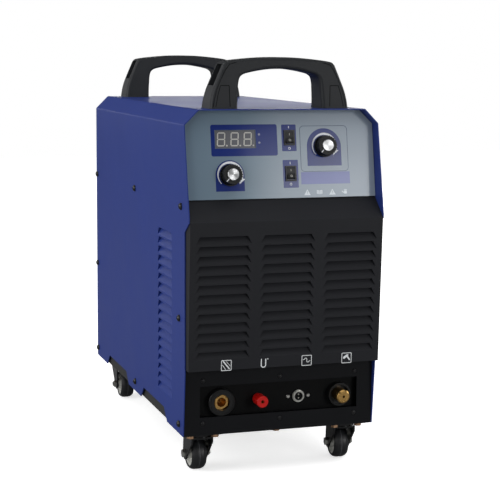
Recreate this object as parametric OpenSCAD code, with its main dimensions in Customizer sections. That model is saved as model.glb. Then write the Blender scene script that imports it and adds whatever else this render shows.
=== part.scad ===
// Plasma cutter power unit: a sheet-metal cabinet on four swivel casters, with a
// sloping control panel, a louvred front, a socket panel and two roof handles.
// Millimetres. X across, Y from front to rear, Z up, floor at Z = 0.

/* [Cabinet] */
// Outside width of the cover
cabinet_w = 300; // [290:1:330]
// Depth of the cover, from its top front edge to its rear edge
cabinet_d = 598; // [570:1:660]
// Height of the cover, without the casters
cabinet_h = 479; // [472:1:510]
// Width and height of the sloping edges along the roof
edge_chamfer = 21.6; // [16:0.2:28]
// Outer radius of the bends in the cover
bend_r = 4; // [3:0.5:6]
// Thickness of the sheet metal
sheet = 1.5; // [1:0.1:2]
// Clearance between pieces that seat in each other
fit_gap = 0.3; // [0.2:0.05:0.4]

/* [Front edge of the cover] */
// Height of the chin, where the front edge reaches furthest out
chin_z = 321; // [316:1:328]
// How far the chin stands out in front of the top front edge
chin_out = 28.5; // [22:0.5:32]
// Height where the edge has cut back below the chin
throat_z = 304; // [296:1:308]
// How far the edge stands out below the chin
throat_out = 6; // [3:0.5:9]
// How far the edge stands out at the foot of the louvred panel
waist_out = 8; // [4:0.5:11]
// How far the edge is set back at the floor of the cabinet
foot_in = 1; // [0:0.5:1.5]

/* [Front panels] */
// Height of the foot of the control panel
fascia_z = 349; // [346:1:353]
// Lean of the control panel, in degrees from upright
fascia_lean = 9.8; // [7:0.1:12]
// Thickness of the printed film on the control panel
film = 0.5; // [0.3:0.1:0.8]
// Height of the bend at the top of the louvred panel
brow_z = 319.5; // [316:0.5:324]
// How far that bend stands out
brow_out = 30; // [28:0.5:34]
// Height of the foot of the louvred panel
shelf_z = 102; // [99:1:106]
// How far the foot of the louvred panel stands out
shelf_out = 21.5; // [18:0.5:24]
// Depth of the side flanges behind the cabinet's front edge
flange_d = 30; // [26:1:36]
// Setback of the socket panel
socket_panel_y = 1.5; // [1:0.5:3]
// Depth of the recess behind the socket panel
socket_recess = 8; // [6:0.5:12]

/* [Louvres] */
// Louvres in each front column
front_rows = 13; // [8:1:14]
// Width of a front louvre along its foot
front_louvre_w = 84; // [70:1:88]
// Distance between the front columns
front_column_pitch = 97.5; // [94:0.5:100]
// Height of the lowest front louvre above the panel's foot
front_louvre_z = 16.5; // [14:0.5:22]
// Louvres in the column on each side of the cover
side_rows = 18; // [10:1:20]
// Width of a side louvre along its foot
side_louvre_w = 86; // [70:1:92]
// Distance from one louvre to the next
louvre_pitch = 14.1; // [13.6:0.1:14.6]
// Height of one louvre
louvre_h = 11.4; // [10:0.1:11.8]
// Depth that a louvre is pressed inwards
louvre_d = 6.5; // [5:0.5:8]
// How much each end of a louvre slopes in
louvre_slope = 6; // [3:0.5:8]
// Distance of the side louvres from the top front edge
side_louvre_y = 105; // [90:1:120]
// Height of the lowest side louvre
side_louvre_z = 43; // [38:1:50]

/* [Controls] */
// Width of the display
display_w = 62; // [54:1:66]
// Height of the display
display_h = 26.4; // [22:0.2:30]
// Radius of the control knobs
knob_r = 16; // [13:0.5:18]
// Height of the control knobs
knob_h = 15; // [12:0.5:18]
// Turn of a control knob, in degrees
knob_turn = 280; // [260:5:300]
// Length of a rocker switch's frame
rocker_frame_l = 22.4; // [20:0.2:25]
// Width of a rocker switch's frame
rocker_frame_w = 16.6; // [15:0.2:18]
// Tilt of a rocker to either side, in degrees
rocker_tilt = 10; // [7:1:12]

/* [Sockets] */
// Height of the row of sockets
socket_z = 47.7; // [44:0.1:52]
// Radius of the torch socket's insulator
torch_r = 20.3; // [18:0.1:20.4]
// Bore radius of the torch socket
torch_bore_r = 7; // [5:0.5:8]
// Radius of the work socket's insulator
work_r = 17.6; // [16:0.2:20]
// Radius of the brass plug in the work socket
work_plug_r = 10.2; // [9:0.2:12]
// Radius of the red binding post
post_r = 8.8; // [7:0.2:9]
// Radius of the control cable socket
control_socket_r = 9.4; // [8:0.2:11]

/* [Handles] */
// Distance between the outer edges of a handle's feet
handle_w = 214; // [200:1:224]
// Height of a handle above the roof
handle_h = 74.6; // [66:0.2:84]
// Depth of a handle at its feet
handle_d = 50; // [44:1:54]
// Distance of the front handle behind the top front edge
handle_front_y = 37; // [32:1:44]
// Distance of the rear handle from the rear edge
handle_rear_y = 34; // [30:1:44]

/* [Casters] */
// Overall height of a caster
caster_h = 66; // [62:0.5:70]
// Radius of a caster wheel
wheel_r = 25; // [22:0.5:25.5]
// Width of the tread
tread_w = 22; // [18:0.5:24]
// Offset of the axle behind the swivel pin
caster_trail = 20; // [16:0.5:22]
// Distance of each swivel pin from the side of the cabinet
caster_x = 35.4; // [34:0.2:45]
// Distance of the front swivel pins from the front edge
caster_front_y = 37; // [36:1:44]
// Distance of the rear swivel pins from the rear edge
caster_rear_y = 53; // [40:1:60]
// Spacing of the four holes in a caster plate
caster_bolt_pitch = 38; // [36:0.5:40]

/* [Hidden] */
$fn = 48;

// Overall frame: the cabinet is drawn with Z = 0 at its floor and Y = 0 at its top
// front edge, and in_frame() sets it on its casters with Y = 0 half way along
rear_reach = 34;
y_mid = (cabinet_d + rear_reach - brow_out) / 2;
half_w = cabinet_w / 2;
inner_w = half_w - sheet - fit_gap;
roof_under = cabinet_h - sheet;
eps = 0.1;
run_gap = 0.05;

// Floor tray
floor_t = 2;
tray_flange_h = 25;
tray_inset = 3;
tray_side = half_w - sheet - tray_inset;
tray_front = socket_panel_y + sheet;
rear_face = cabinet_d - 2.5;
tray_rear = rear_face - sheet;
fan_depth = 40;
notch_len = 168;
notch_h = 19;
notch_mid = [0.295 * cabinet_d, 0.72 * cabinet_d];

// Cover screws, as [distance from the front edge, height]
screw_r = 2;
screw_hole_r = 2.1;
rear_flange_d = 22;
rear_screw_y = cabinet_d - 10;
mid_screw_y = (notch_mid[0] + notch_mid[1]) / 2 - 6;
deck_z = fascia_z - 19;
deck_flange_h = 20;
deck_front = 62;
deck_leg_w = 250;
deck_rear = tray_rear - fan_depth - 8;
cover_screws = [
    [12.6, fascia_z - 9.5], [flange_d - 8, shelf_z + 72], [flange_d - 8, 15],
    [mid_screw_y, deck_z + 9], [mid_screw_y, 16.5],
    [rear_screw_y, fascia_z - 11], [rear_screw_y, shelf_z + 72.5], [rear_screw_y, 15]
];

// Control panel, in its own plane: X across, Y up the slope, Z out of the face
fascia_y = 0.6;
fascia_len = (roof_under - fit_gap - fascia_z) / cos(fascia_lean);
face_back = -film - sheet;
fascia_flange_d = 14;
shelf_lap = 14;
lip_h = 9;
lip_in = sheet / 2 - face_back;
display_at = [82.1 - half_w, 0.6718 * fascia_len];
delay_at = [71.6 - half_w, 0.2683 * fascia_len];
current_at = [half_w - 80.7, 0.5773 * fascia_len];
mode_switch_at = [half_w / 10, 0.681 * fascia_len];
gas_switch_at = [half_w / 10, 0.2752 * fascia_len];
knobs = [current_at, delay_at];
switches = [mode_switch_at, gas_switch_at];
shaft_r = 3;
bush_r = 3.5;
bush_top = 3.2;
knob_foot = 1.2;
knob_hollow = 3;
flutes = 24;
pointer_at = 225;
cap_r = 8.6;
cap_h = 2.4;
rocker_l = 16.6;
rocker_w = 11.4;
rocker_r = 8.9;
rocker_axle_r = 1.2;
switch_body_w = 13.4;
switch_body_l = 19.6;
switch_body_d = 13;
switch_rim = 2;
display_back = 14;
display_ear = 8;
display_pcb_t = 1.6;

// Socket panel
window_side = 26;
window_w = cabinet_w - 2 * window_side;
window_h = 46.6;
window_z = socket_z + 2.6;
socket_screw_x = window_w / 2 - 4.5;
socket_screw_dz = 32.2;
board_y = socket_panel_y + sheet + socket_recess;
board_t = 4;
torch_x = 33.8 - window_w / 2;
post_x = -window_w / 8;
control_x = window_w / 8 + 1.5;
work_x = window_w / 2 - 27.5;
hex_af = 19;
hex_face = -3;
hex_h = 5;
board_face = socket_panel_y - board_y;
board_back = board_face - board_t;
rim_w = 9;
torch_out = 10;
torch_neck_r = 15;
torch_core_r = 11.8;
torch_bore_l = 26;
neck_l = 19;
work_neck_r = 13;
plug_shank_r = 8;
plug_out = 26.5;
post_neck_r = 5;
post_collar_h = 7;
post_out = 23;
control_screw_x = 16;
plug_hole_r = 2;
banana_r = 2;

// Rear of the cabinet
fan_z = 205;
fan_r = 74;
fan_plate = 162;
fan_hub_r = 30;
fan_screw_pitch = 140;
fan_mount_t = 5;
guard_out = 4;
guard_t = 2;
breaker_at = [70 - half_w, (deck_z + cabinet_h + 1) / 2];
breaker_w = 54;
breaker_h = 80;
breaker_depth = 56;
nose_h = 46;
nose_out = 8;
lever_r = 9;
lever_z = nose_out - 10;
lever_w = 18;
lever_rest = -26;
gland_at = [70 - half_w, 60];
gland_bore_r = 7;
gland_thread_r = 11;
gas_at = [half_w - 65, 62];
barb_r = 5;
gas_thread_r = 6;
spigot_l = 14;
valve_w = 32;
valve_l = 40;
coil_r = 14;
coil_l = 36;
earth_at = [0, 38];

// Power section
core_size = [100, 52, 92];
coil_size = [74, 72, 52];
core_window = [26, 56];
coil_z = 20;
transformer_at = [-30, cabinet_d - 138];
sink_x = 58;
sink_w = 100;
sink_y = 150;
sink_l = transformer_at[1] - sink_y - 80;
sink_top = 112;
sink_fins = 11;
pcb_gap = 10;
pcb_t = 2;
capacitor_r = 17;
capacitor_h = 52;
capacitor_x = [-60, -20, 20, 60];
capacitor_y = [60, 110];
board_half_w = half_w - 30;
board_foot = 14;
board_l = fascia_len - 38;
board_w = -29;
chip_size = [24, 18, 11.5];
chip_x = [-60, -10, 40];

// Handles: each row is [outer point, inner point] of the left half, above the roof
handle_top_d = 42;
handle_round = 5;
handle_steps = 3;
corner_steps = 3;
handle_screw_r = 2.5;
handle_screw_dx = [-95, -78, 78, 95];
handle_rails = [
    [[-handle_w / 2, 0], [-65, 0]],
    [[1.5 - handle_w / 2, 12], [-64.5, 14]],
    [[5 - handle_w / 2, 26], [-63.5, 28]],
    [[11 - handle_w / 2, 41], [-62.5, handle_h - 37]],
    [[17 - handle_w / 2, handle_h - 19.5], [-60, handle_h - 29]],
    [[22.5 - handle_w / 2, handle_h - 9], [-54, handle_h - 24.6]],
    [[32 - handle_w / 2, handle_h - 5.6], [-46, handle_h - 22.4]],
    [[57 - handle_w / 2, handle_h - 2.6], [-34, handle_h - 20]],
    [[82 - handle_w / 2, handle_h - 0.6], [-17, handle_h - 17.6]],
    [[0, handle_h], [0, handle_h - 17]]
];

// Casters
plate_w = 56;
plate_t = 2.5;
race_h = 6.2;
race_r = 17;
king_r = 4;
fork_t = 2.5;
fork_in = 14.5;
leg_end_r = 9.5;
axle_r = 4;
axle_head_r = 6.2;
axle_head_h = 4;
axle_end = 3;
hub_w = 2 * fork_in - 1;
hub_r = wheel_r - 6;
axle_z = -caster_h + wheel_r;
fork_top = -plate_t - race_h - run_gap;
bolt_r = 3;
bolt_hole_r = 3.2;
bolt_head_h = 3.6;
washer_t = 1.2;

// Places of the casters and the turn each stands at, in degrees
function pin_at(right, rear) = [
    (right ? 1 : -1) * (half_w - caster_x),
    rear ? cabinet_d - caster_rear_y : caster_front_y
];
front_left = [pin_at(false, false), 1];
front_right = [pin_at(true, false), -5];
rear_left = [pin_at(false, true), 179];
rear_right = [pin_at(true, true), 176];

blue = "#353f7d";
black_steel = "#26282c";
black_plastic = "#2c2f32";
insulator_black = "#151719";
grey_steel = "#6b6c68";
zinc = "#c9c8bd";
brass = "#c8a05a";

module in_frame() translate([0, -y_mid, caster_h]) children();

// Stands children on a leaning face: X across, Y up the face, Z out of it
module on_face(y, z, lean) translate([0, y, z]) rotate([90 - lean, 0, 0]) children();
module on_fascia() on_face(fascia_y, fascia_z, fascia_lean) children();
module on_louvre_face()
    on_face(-shelf_out, shelf_z, -atan((brow_out - shelf_out) / (brow_z - shelf_z))) children();
module on_front(x, y, z) translate([x, y, z]) rotate([90, 0, 0]) children();
module on_rear(x, z) translate([x, rear_face, z]) rotate([-90, 0, 0]) children();
module on_side(side, y, z)
    translate([side * half_w, y, z]) rotate([90, 0, side * 90]) children();

// Extrudes a shape drawn in the YZ plane along X
module across(w) rotate([90, 0, 90]) linear_extrude(w, center = true) children();

function side_normal(a, b) = let (d = b - a) [-d[1], d[0]] / norm(d);
function offset_point(p, i, t) =
    i == 0 ? p[0] + t * side_normal(p[0], p[1]) :
    i == len(p) - 1 ? p[i] + t * side_normal(p[i - 1], p[i]) :
    let (n = side_normal(p[i - 1], p[i]), m = side_normal(p[i], p[i + 1]))
        p[i] + t * (n + m) / (1 + n * m);
// Section of a sheet of thickness t bent along the points p
function bent(p, t) = concat(p, [for (i = [len(p) - 1:-1:0]) offset_point(p, i, t)]);

// Outline of the cover seen from the front, drawn inwards by inset, down to z = low
function roof_arc(side, inset, low) = let (
    r = bend_r - inset,
    k = bend_r * tan(22.5),
    foot = [half_w - bend_r, cabinet_h - edge_chamfer - k],
    head = [half_w - edge_chamfer - k, cabinet_h - bend_r],
    arcs = concat(
        [[half_w - inset, low]],
        [for (a = [0:9:45]) foot + r * [cos(a), sin(a)]],
        [for (a = [45:9:90]) head + r * [cos(a), sin(a)]]
    )
) [for (p = arcs) [side * p[0], p[1]]];
function reversed(p) = [for (i = [len(p) - 1:-1:0]) p[i]];
function wrap_outline(inset, low) =
    concat(roof_arc(1, inset, low), reversed(roof_arc(-1, inset, low)));

// Louvres pressed inwards: each blade hinges at its foot and opens at its head.
// Drawn on a face with X across, Y up and Z outwards; wall adds the blade's thickness
module louvre_form(rows, w, wall, front) {
    drop = wall * norm([louvre_d, louvre_h]) / louvre_d;
    below = drop + front * louvre_h / louvre_d;
    blade = [[-front, -below], [louvre_d, louvre_h - drop], [louvre_d, louvre_h], [-front, louvre_h]];
    intersection() {
        rotate([0, 90, 0])
            linear_extrude(w + 2 * (wall + louvre_slope), center = true)
                for (i = [0:rows - 1])
                    translate([0, i * louvre_pitch])
                        polygon([for (k = [0:3]) if (k != 2 || drop > 0) blade[k]]);
        translate([0, 0, -louvre_d - 1])
            linear_extrude(louvre_d + 2)
                for (i = [0:rows - 1])
                    translate([0, i * louvre_pitch]) louvre_outline(w / 2 + wall, below + 1);
    }
}
module louvre_outline(hw, below) {
    spread = louvre_slope * below / louvre_h;
    polygon([
        [-hw - spread, -below], [hw + spread, -below],
        [hw - louvre_slope, louvre_h], [louvre_slope - hw, louvre_h]
    ]);
}
front_columns = floor((2 * inner_w - 4 + front_column_pitch - front_louvre_w) / front_column_pitch);
module at_front_columns()
    for (i = [0:front_columns - 1])
        translate([(i - (front_columns - 1) / 2) * front_column_pitch, front_louvre_z]) children();
module side_columns()
    for (side = [-1, 1]) on_side(side, side_louvre_y, side_louvre_z) children();

// Cover: one sheet folded over the roof, with louvres, screw holes and foot notches
module cover_shell() intersection() {
    translate([0, cabinet_d, 0]) rotate([90, 0, 0])
        linear_extrude(cabinet_d + chin_out + 5)
            difference() {
                polygon(wrap_outline(0, 0));
                polygon(wrap_outline(sheet, -1));
            }
    across(cabinet_w + 2) polygon([
        [0, cabinet_h + 1], [0, cabinet_h - edge_chamfer], [-chin_out, chin_z + 3],
        [-chin_out, chin_z - 2], [-throat_out, throat_z], [-waist_out, shelf_z],
        [foot_in, 0], [cabinet_d, 0], [cabinet_d, cabinet_h + 1]
    ]);
}
module notch_shape() polygon([
    [-notch_len / 2 - 1, -1], [notch_len / 2 + 1, -1],
    [notch_len / 2 - notch_h, notch_h], [notch_h - notch_len / 2, notch_h]
]);
module outer_cover() in_frame() color(blue) difference() {
    union() {
        cover_shell();
        side_columns() louvre_form(side_rows, side_louvre_w, sheet, -sheet / 3);
    }
    side_columns() louvre_form(side_rows, side_louvre_w, 0, eps);
    for (side = [-1, 1], s = cover_screws)
        on_side(side, s[0], s[1]) cylinder(r = screw_hole_r, h = 4 * sheet, center = true);
    for (side = [-1, 1], y = notch_mid)
        on_side(side, y, 0) translate([0, 0, -3 * sheet]) linear_extrude(6 * sheet) notch_shape();
    at_handle_screws() cylinder(r = handle_screw_r + 0.2, h = 4 * sheet, center = true);
}

// Floor tray, folded up on all four sides, with pads under the middle cover screws
module base_tray() in_frame() color(grey_steel) difference() {
    union() {
        translate([-tray_side, tray_front, 0]) cube([2 * tray_side, tray_rear - tray_front, floor_t]);
        for (side = [-1, 1])
            translate([side > 0 ? tray_side - floor_t : -tray_side, tray_front, 0])
                cube([floor_t, tray_rear - tray_front, tray_flange_h]);
        for (y = [tray_front, tray_rear - floor_t])
            translate([-tray_side, y, 0]) cube([2 * tray_side, floor_t, 10]);
        for (side = [-1, 1])
            on_side(side, mid_screw_y, cover_screws[4][1])
                translate([0, 0, -sheet - tray_inset - floor_t])
                    cylinder(r = 7, h = floor_t + tray_inset - fit_gap);
    }
    for (side = [-1, 1], i = [2, 4, 7])
        on_side(side, cover_screws[i][0], cover_screws[i][1])
            cylinder(r = screw_hole_r, h = 4 * (sheet + tray_inset), center = true);
    at_base_bolts() cylinder(r = bolt_hole_r, h = 3 * floor_t, center = true);
}

// Deck across the cabinet above the power section, on two windowed legs
module inner_deck() in_frame() color(grey_steel) {
    difference() {
        union() {
            translate([-inner_w, deck_front, deck_z])
                cube([2 * inner_w, deck_rear - deck_front, sheet]);
            for (side = [-1, 1])
                translate([side > 0 ? inner_w - sheet : -inner_w, deck_front, deck_z])
                    cube([sheet, deck_rear - deck_front, deck_flange_h]);
            for (y = [deck_front, deck_rear - sheet]) deck_leg(y);
        }
        for (side = [-1, 1])
            on_side(side, mid_screw_y, cover_screws[3][1])
                cylinder(r = screw_hole_r, h = 8 * sheet, center = true);
    }
}
module deck_leg(y) difference() {
    translate([-deck_leg_w / 2, y, floor_t]) cube([deck_leg_w, sheet, deck_z - floor_t + eps]);
    translate([20 - deck_leg_w / 2, y - 1, floor_t + 20])
        cube([deck_leg_w - 40, sheet + 2, deck_z - floor_t - 40]);
}

// Control panel and the printed film on its face
module fascia_outline(inset) polygon([
    for (p = wrap_outline(sheet + inset, fascia_z)) [p[0], (p[1] - fascia_z) / cos(fascia_lean)]
]);
module slab(w, l, from, to) translate([-w / 2, -l / 2, from]) cube([w, l, to - from]);
module fascia_holes(from, to) {
    translate(display_at) slab(display_w, display_h, from, to);
    for (p = knobs) translate([p[0], p[1], from]) cylinder(r = bush_r + run_gap, h = to - from);
    for (p = switches)
        translate(p) slab(switch_body_w + fit_gap, switch_body_l + fit_gap, from, to);
}
module fascia_panel() in_frame() color(black_steel) on_fascia() difference() {
    union() {
        translate([0, 0, face_back]) linear_extrude(sheet) fascia_outline(fit_gap);
        for (side = [-1, 1])
            translate([side > 0 ? inner_w - sheet : -inner_w, 5, face_back - fascia_flange_d])
                cube([sheet, fascia_len - edge_chamfer - bend_r - 8, fascia_flange_d + eps]);
    }
    fascia_holes(face_back - 1, 0);
}
module fascia_film() in_frame() color("#7f8f9b") on_fascia() difference() {
    translate([0, 0, -film]) linear_extrude(film) fascia_outline(2 * fit_gap);
    fascia_holes(-1, 1);
}

// Louvred front tray, standing proud between the control and socket panels
louvre_section = [
    [fascia_y + lip_in * cos(fascia_lean), fascia_z - lip_in * sin(fascia_lean)],
    [-brow_out, brow_z], [-shelf_out, shelf_z], [socket_panel_y + shelf_lap, shelf_z]
];
module louvre_panel() in_frame() color(black_steel) difference() {
    union() {
        across(2 * inner_w) polygon(bent(louvre_section, sheet));
        on_fascia() translate([4 - inner_w, -2 * sheet, face_back - sheet])
            cube([2 * inner_w - 8, lip_h + 2 * sheet, sheet]);
        for (side = [-1, 1])
            translate([side * (inner_w - sheet / 2), 0, 0]) across(sheet)
                polygon(concat(
                    [for (i = [0:2]) louvre_section[i]],
                    [[flange_d, shelf_z], [flange_d, fascia_z - 5]]
                ));
        on_louvre_face() at_front_columns() louvre_form(front_rows, front_louvre_w, sheet, -sheet / 3);
    }
    on_louvre_face() at_front_columns() louvre_form(front_rows, front_louvre_w, 0, eps);
    for (side = [-1, 1], i = [0, 1])
        on_side(side, cover_screws[i][0], cover_screws[i][1])
            cylinder(r = screw_hole_r, h = 8 * sheet, center = true);
}

// Socket panel with its window, and the insulating board behind it
module at_socket_screws() for (x = [-1:1], z = [-1, 1])
    on_front(x * socket_screw_x, socket_panel_y, window_z + z * socket_screw_dz) children();
module socket_panel() in_frame() color(insulator_black) difference() {
    union() {
        across(2 * inner_w) polygon(bent([
            [socket_panel_y + shelf_lap, shelf_z], [socket_panel_y, shelf_z], [socket_panel_y, 0]
        ], sheet));
        for (side = [-1, 1])
            translate([side > 0 ? inner_w - sheet : -inner_w, socket_panel_y, 0])
                cube([sheet, flange_d - socket_panel_y, shelf_z]);
    }
    on_front(0, socket_panel_y, window_z) slab(window_w, window_h, -4 * sheet, sheet);
    at_socket_screws() cylinder(r = screw_hole_r, h = 4 * sheet, center = true);
    for (side = [-1, 1])
        on_side(side, cover_screws[2][0], cover_screws[2][1])
            cylinder(r = screw_hole_r, h = 8 * sheet, center = true);
}
module socket_board() in_frame() color("#0c0d0e") difference() {
    on_front(0, socket_panel_y, window_z)
        slab(window_w + 2 * rim_w, 2 * socket_screw_dz + rim_w, board_back, -sheet);
    on_front(0, socket_panel_y, window_z) slab(window_w + 2, window_h + 1, board_face, 1);
    at_socket_screws() translate([0, 0, board_back - 1]) cylinder(r = screw_hole_r, h = -board_back + 2);
    socket_holes(torch_x, torch_neck_r + run_gap);
    socket_holes(work_x, work_neck_r + run_gap);
    socket_holes(post_x, post_neck_r + run_gap);
    socket_holes(control_x, control_socket_r - 2 + run_gap);
    for (side = [-1, 1]) socket_holes(control_x + side * control_screw_x, screw_r);
}
module socket_holes(x, r)
    translate([x, board_y - 1, socket_z]) rotate([-90, 0, 0]) cylinder(r = r, h = board_t + 2);

// Rear panel, with the fan, breaker, gland, gas and earth openings
module rear_panel() in_frame() color(black_steel) difference() {
    union() {
        translate([0, rear_face, 0]) rotate([90, 0, 0])
            linear_extrude(sheet) polygon(wrap_outline(sheet + fit_gap, 0));
        for (side = [-1, 1])
            translate([side > 0 ? inner_w - sheet : -inner_w, rear_face - rear_flange_d, 0])
                cube([sheet, rear_flange_d - eps, cabinet_h - edge_chamfer - 8]);
    }
    on_rear(0, fan_z) cylinder(r = fan_r - 2, h = 6 * sheet, center = true);
    on_rear(0, fan_z) fan_corners() cylinder(r = screw_hole_r, h = 6 * sheet, center = true);
    on_rear(breaker_at[0], breaker_at[1])
        slab(breaker_w - 4 + 2 * fit_gap, nose_h + 2 * fit_gap, -6, 6);
    on_rear(gland_at[0], gland_at[1]) cylinder(r = gland_thread_r + 0.15, h = 6 * sheet, center = true);
    on_rear(gas_at[0], gas_at[1]) cylinder(r = gas_thread_r + 0.15, h = 6 * sheet, center = true);
    on_rear(earth_at[0], earth_at[1]) cylinder(r = 4.15, h = 6 * sheet, center = true);
    for (side = [-1, 1], i = [5:7])
        on_side(side, cover_screws[i][0], cover_screws[i][1])
            cylinder(r = screw_hole_r, h = 8 * sheet, center = true);
}
module fan_corners() for (x = [-1, 1], y = [-1, 1])
    translate([x * fan_screw_pitch / 2, y * fan_screw_pitch / 2]) children();

// Moulded roof handles: a rounded section swept between an outer and an inner rail.
function spline(a, b, c, d, t) =
    0.5 * (2 * b + (c - a) * t + (2 * a - 5 * b + 4 * c - d) * t * t
        + (3 * b - a - 3 * c + d) * t * t * t);
function rail_point(k, side, t) = let (
    last = len(handle_rails) - 1,
    mirrored = [-handle_rails[last - 1][side][0], handle_rails[last - 1][side][1]],
    a = k == 0 ? 2 * handle_rails[0][side] - handle_rails[1][side] : handle_rails[k - 1][side],
    d = k + 2 > last ? mirrored : handle_rails[k + 2][side]
) spline(a, handle_rails[k][side], handle_rails[k + 1][side], d, t);
half_rails = [
    for (k = [0:len(handle_rails) - 2], s = [0:handle_steps - 1])
        [rail_point(k, 0, s / handle_steps), rail_point(k, 1, s / handle_steps)]
];
rails = concat(
    half_rails,
    [handle_rails[len(handle_rails) - 1]],
    [for (r = reversed(half_rails)) [[-r[0][0], r[0][1]], [-r[1][0], r[1][1]]]]
);
// One rounded cross-section between an outer and an inner point
function handle_section(r) = let (
    along = (r[0] - r[1]) / norm(r[0] - r[1]),
    mid = (r[0] + r[1]) / 2,
    half_t = norm(r[0] - r[1]) / 2,
    half_d = handle_top_d / 2 + (handle_d - handle_top_d) / 2 * pow(1 - min(1, mid[1] / handle_h), 2),
    c = handle_round
) [
    for (q = [0:3], s = [0:corner_steps])
        let (
            a = 90 * (q + s / corner_steps),
            sx = (q == 0 || q == 3) ? 1 : -1,
            sy = q < 2 ? 1 : -1,
            u = sx * (half_t - c) + c * cos(a),
            v = sy * (half_d - c) + c * sin(a)
        ) [mid[0] + along[0] * u, v, mid[1] + along[1] * u]
];
module handle_bar() {
    n = 4 * (corner_steps + 1);
    m = len(rails);
    points = [for (r = rails) each handle_section(r)];
    sides = [
        for (i = [0:m - 2], j = [0:n - 1])
            let (a = i * n + j, b = i * n + (j + 1) % n)
                each [[a, b, b + n], [a, b + n, a + n]]
    ];
    polyhedron(points, concat([[for (j = [n - 1:-1:0]) j]], sides, [[for (j = [0:n - 1]) (m - 1) * n + j]]));
}
// The recess along the outer end of each leg
module handle_slot() for (side = [-1, 1])
    translate([side * (handle_w / 2 - 14), 0, (handle_h + 24) / 2])
        rotate([0, side * -22, 0]) slab_block(10, handle_d / 2, 34);
module slab_block(x, y, z) translate([0, -y / 2, -z / 2]) cube([x, y, z]);
module handle(y) translate([0, y, cabinet_h]) difference() {
    handle_bar();
    handle_slot();
    for (x = handle_screw_dx) translate([x, 0, -1]) cylinder(r = handle_screw_r + 0.1, h = 13);
}
module front_handle() in_frame() color(black_plastic) handle(handle_front_y);
module rear_handle() in_frame() color(black_plastic) handle(cabinet_d - handle_rear_y);
module at_handle_screws() for (y = [handle_front_y, cabinet_d - handle_rear_y], x = handle_screw_dx)
    translate([x, y, roof_under]) children();

// Screws of the cover, socket board, fan and handles
module pan_screw(l, r, head_r, head_h) {
    round_r = (head_r * head_r + head_h * head_h) / (2 * head_h);
    intersection() {
        translate([0, 0, head_h - round_r]) sphere(r = round_r);
        cylinder(r = head_r + 1, h = head_h + 1);
    }
    translate([0, 0, -l]) cylinder(r = r, h = l + eps);
}
module panel_screws() in_frame() color("#1b1c1e") {
    for (side = [-1, 1], s = cover_screws) on_side(side, s[0], s[1]) pan_screw(8, screw_r, 5.3, 4.2);
    at_socket_screws() pan_screw(18, screw_r, 3.2, 1.8);
    on_rear(0, fan_z) fan_corners() translate([0, 0, guard_out + guard_t]) pan_screw(20, screw_r, 4.4, 3);
    at_handle_screws() mirror([0, 0, 1]) pan_screw(11, handle_screw_r, 5.5, 3.7);
}

// Display, potentiometers and switch frames behind the control panel
module display_module() in_frame() color("#5f5f66") on_fascia() translate(display_at) {
    slab(display_w - 2 * fit_gap, display_h - 2 * fit_gap, -display_back, -2 * film);
    slab(display_w + display_ear, display_h + display_ear / 2, face_back - 2, face_back);
    slab(display_w + 14, display_h + display_ear, -display_back - display_pcb_t, -display_back);
}
module potentiometers() in_frame() color(zinc) on_fascia()
    for (p = knobs) translate([p[0], p[1], 0]) difference() {
        union() {
            translate([0, 0, face_back - 9]) cylinder(r = 8, h = 9);
            translate([0, 0, face_back - eps]) cylinder(r = bush_r, h = bush_top - face_back + eps);
            translate([0, 0, 0]) cylinder(r = 5.8, h = 2, $fn = 6);
            translate([-6, -15, face_back - 5]) cube([12, 9, 2]);
        }
        translate([0, 0, -9]) cylinder(r = shaft_r + run_gap, h = 20);
    }
module switch_frames() in_frame() color(insulator_black) on_fascia()
    for (p = switches) translate([p[0], p[1], 0]) difference() {
        union() {
            slab(rocker_frame_w, rocker_frame_l, 0, switch_rim);
            slab(switch_body_w, switch_body_l, -switch_body_d, eps);
            for (v = [-6, 0, 6]) translate([0, v, 0]) slab(5, 0.8, -switch_body_d - 7, eps - switch_body_d);
        }
        intersection() {
            slab(rocker_w + 2 * fit_gap, rocker_frame_l - 2, -20, 5);
            rotate([0, 90, 0]) cylinder(r = rocker_r + fit_gap, h = 20, center = true);
        }
        rotate([0, 90, 0]) cylinder(r = rocker_axle_r + run_gap, h = switch_body_w + 1, center = true);
    }
module rocker(p) on_fascia() translate([p[0], p[1], 0]) rotate([-rocker_tilt, 0, 0]) {
    intersection() {
        rotate([0, 90, 0]) cylinder(r = rocker_r, h = rocker_w, center = true);
        across(rocker_w) polygon([
            [-rocker_l / 2, -5], [rocker_l / 2, -5], [rocker_l / 2, 3.4],
            [0, 2.2], [-rocker_l / 2, 3.4]
        ]);
    }
    rotate([0, 90, 0]) cylinder(r = rocker_axle_r, h = switch_body_w - 0.2, center = true);
}
module mode_rocker() in_frame() color("#1d1e20") rocker(mode_switch_at);
module gas_rocker() in_frame() color("#1d1e20") rocker(gas_switch_at);

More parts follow.
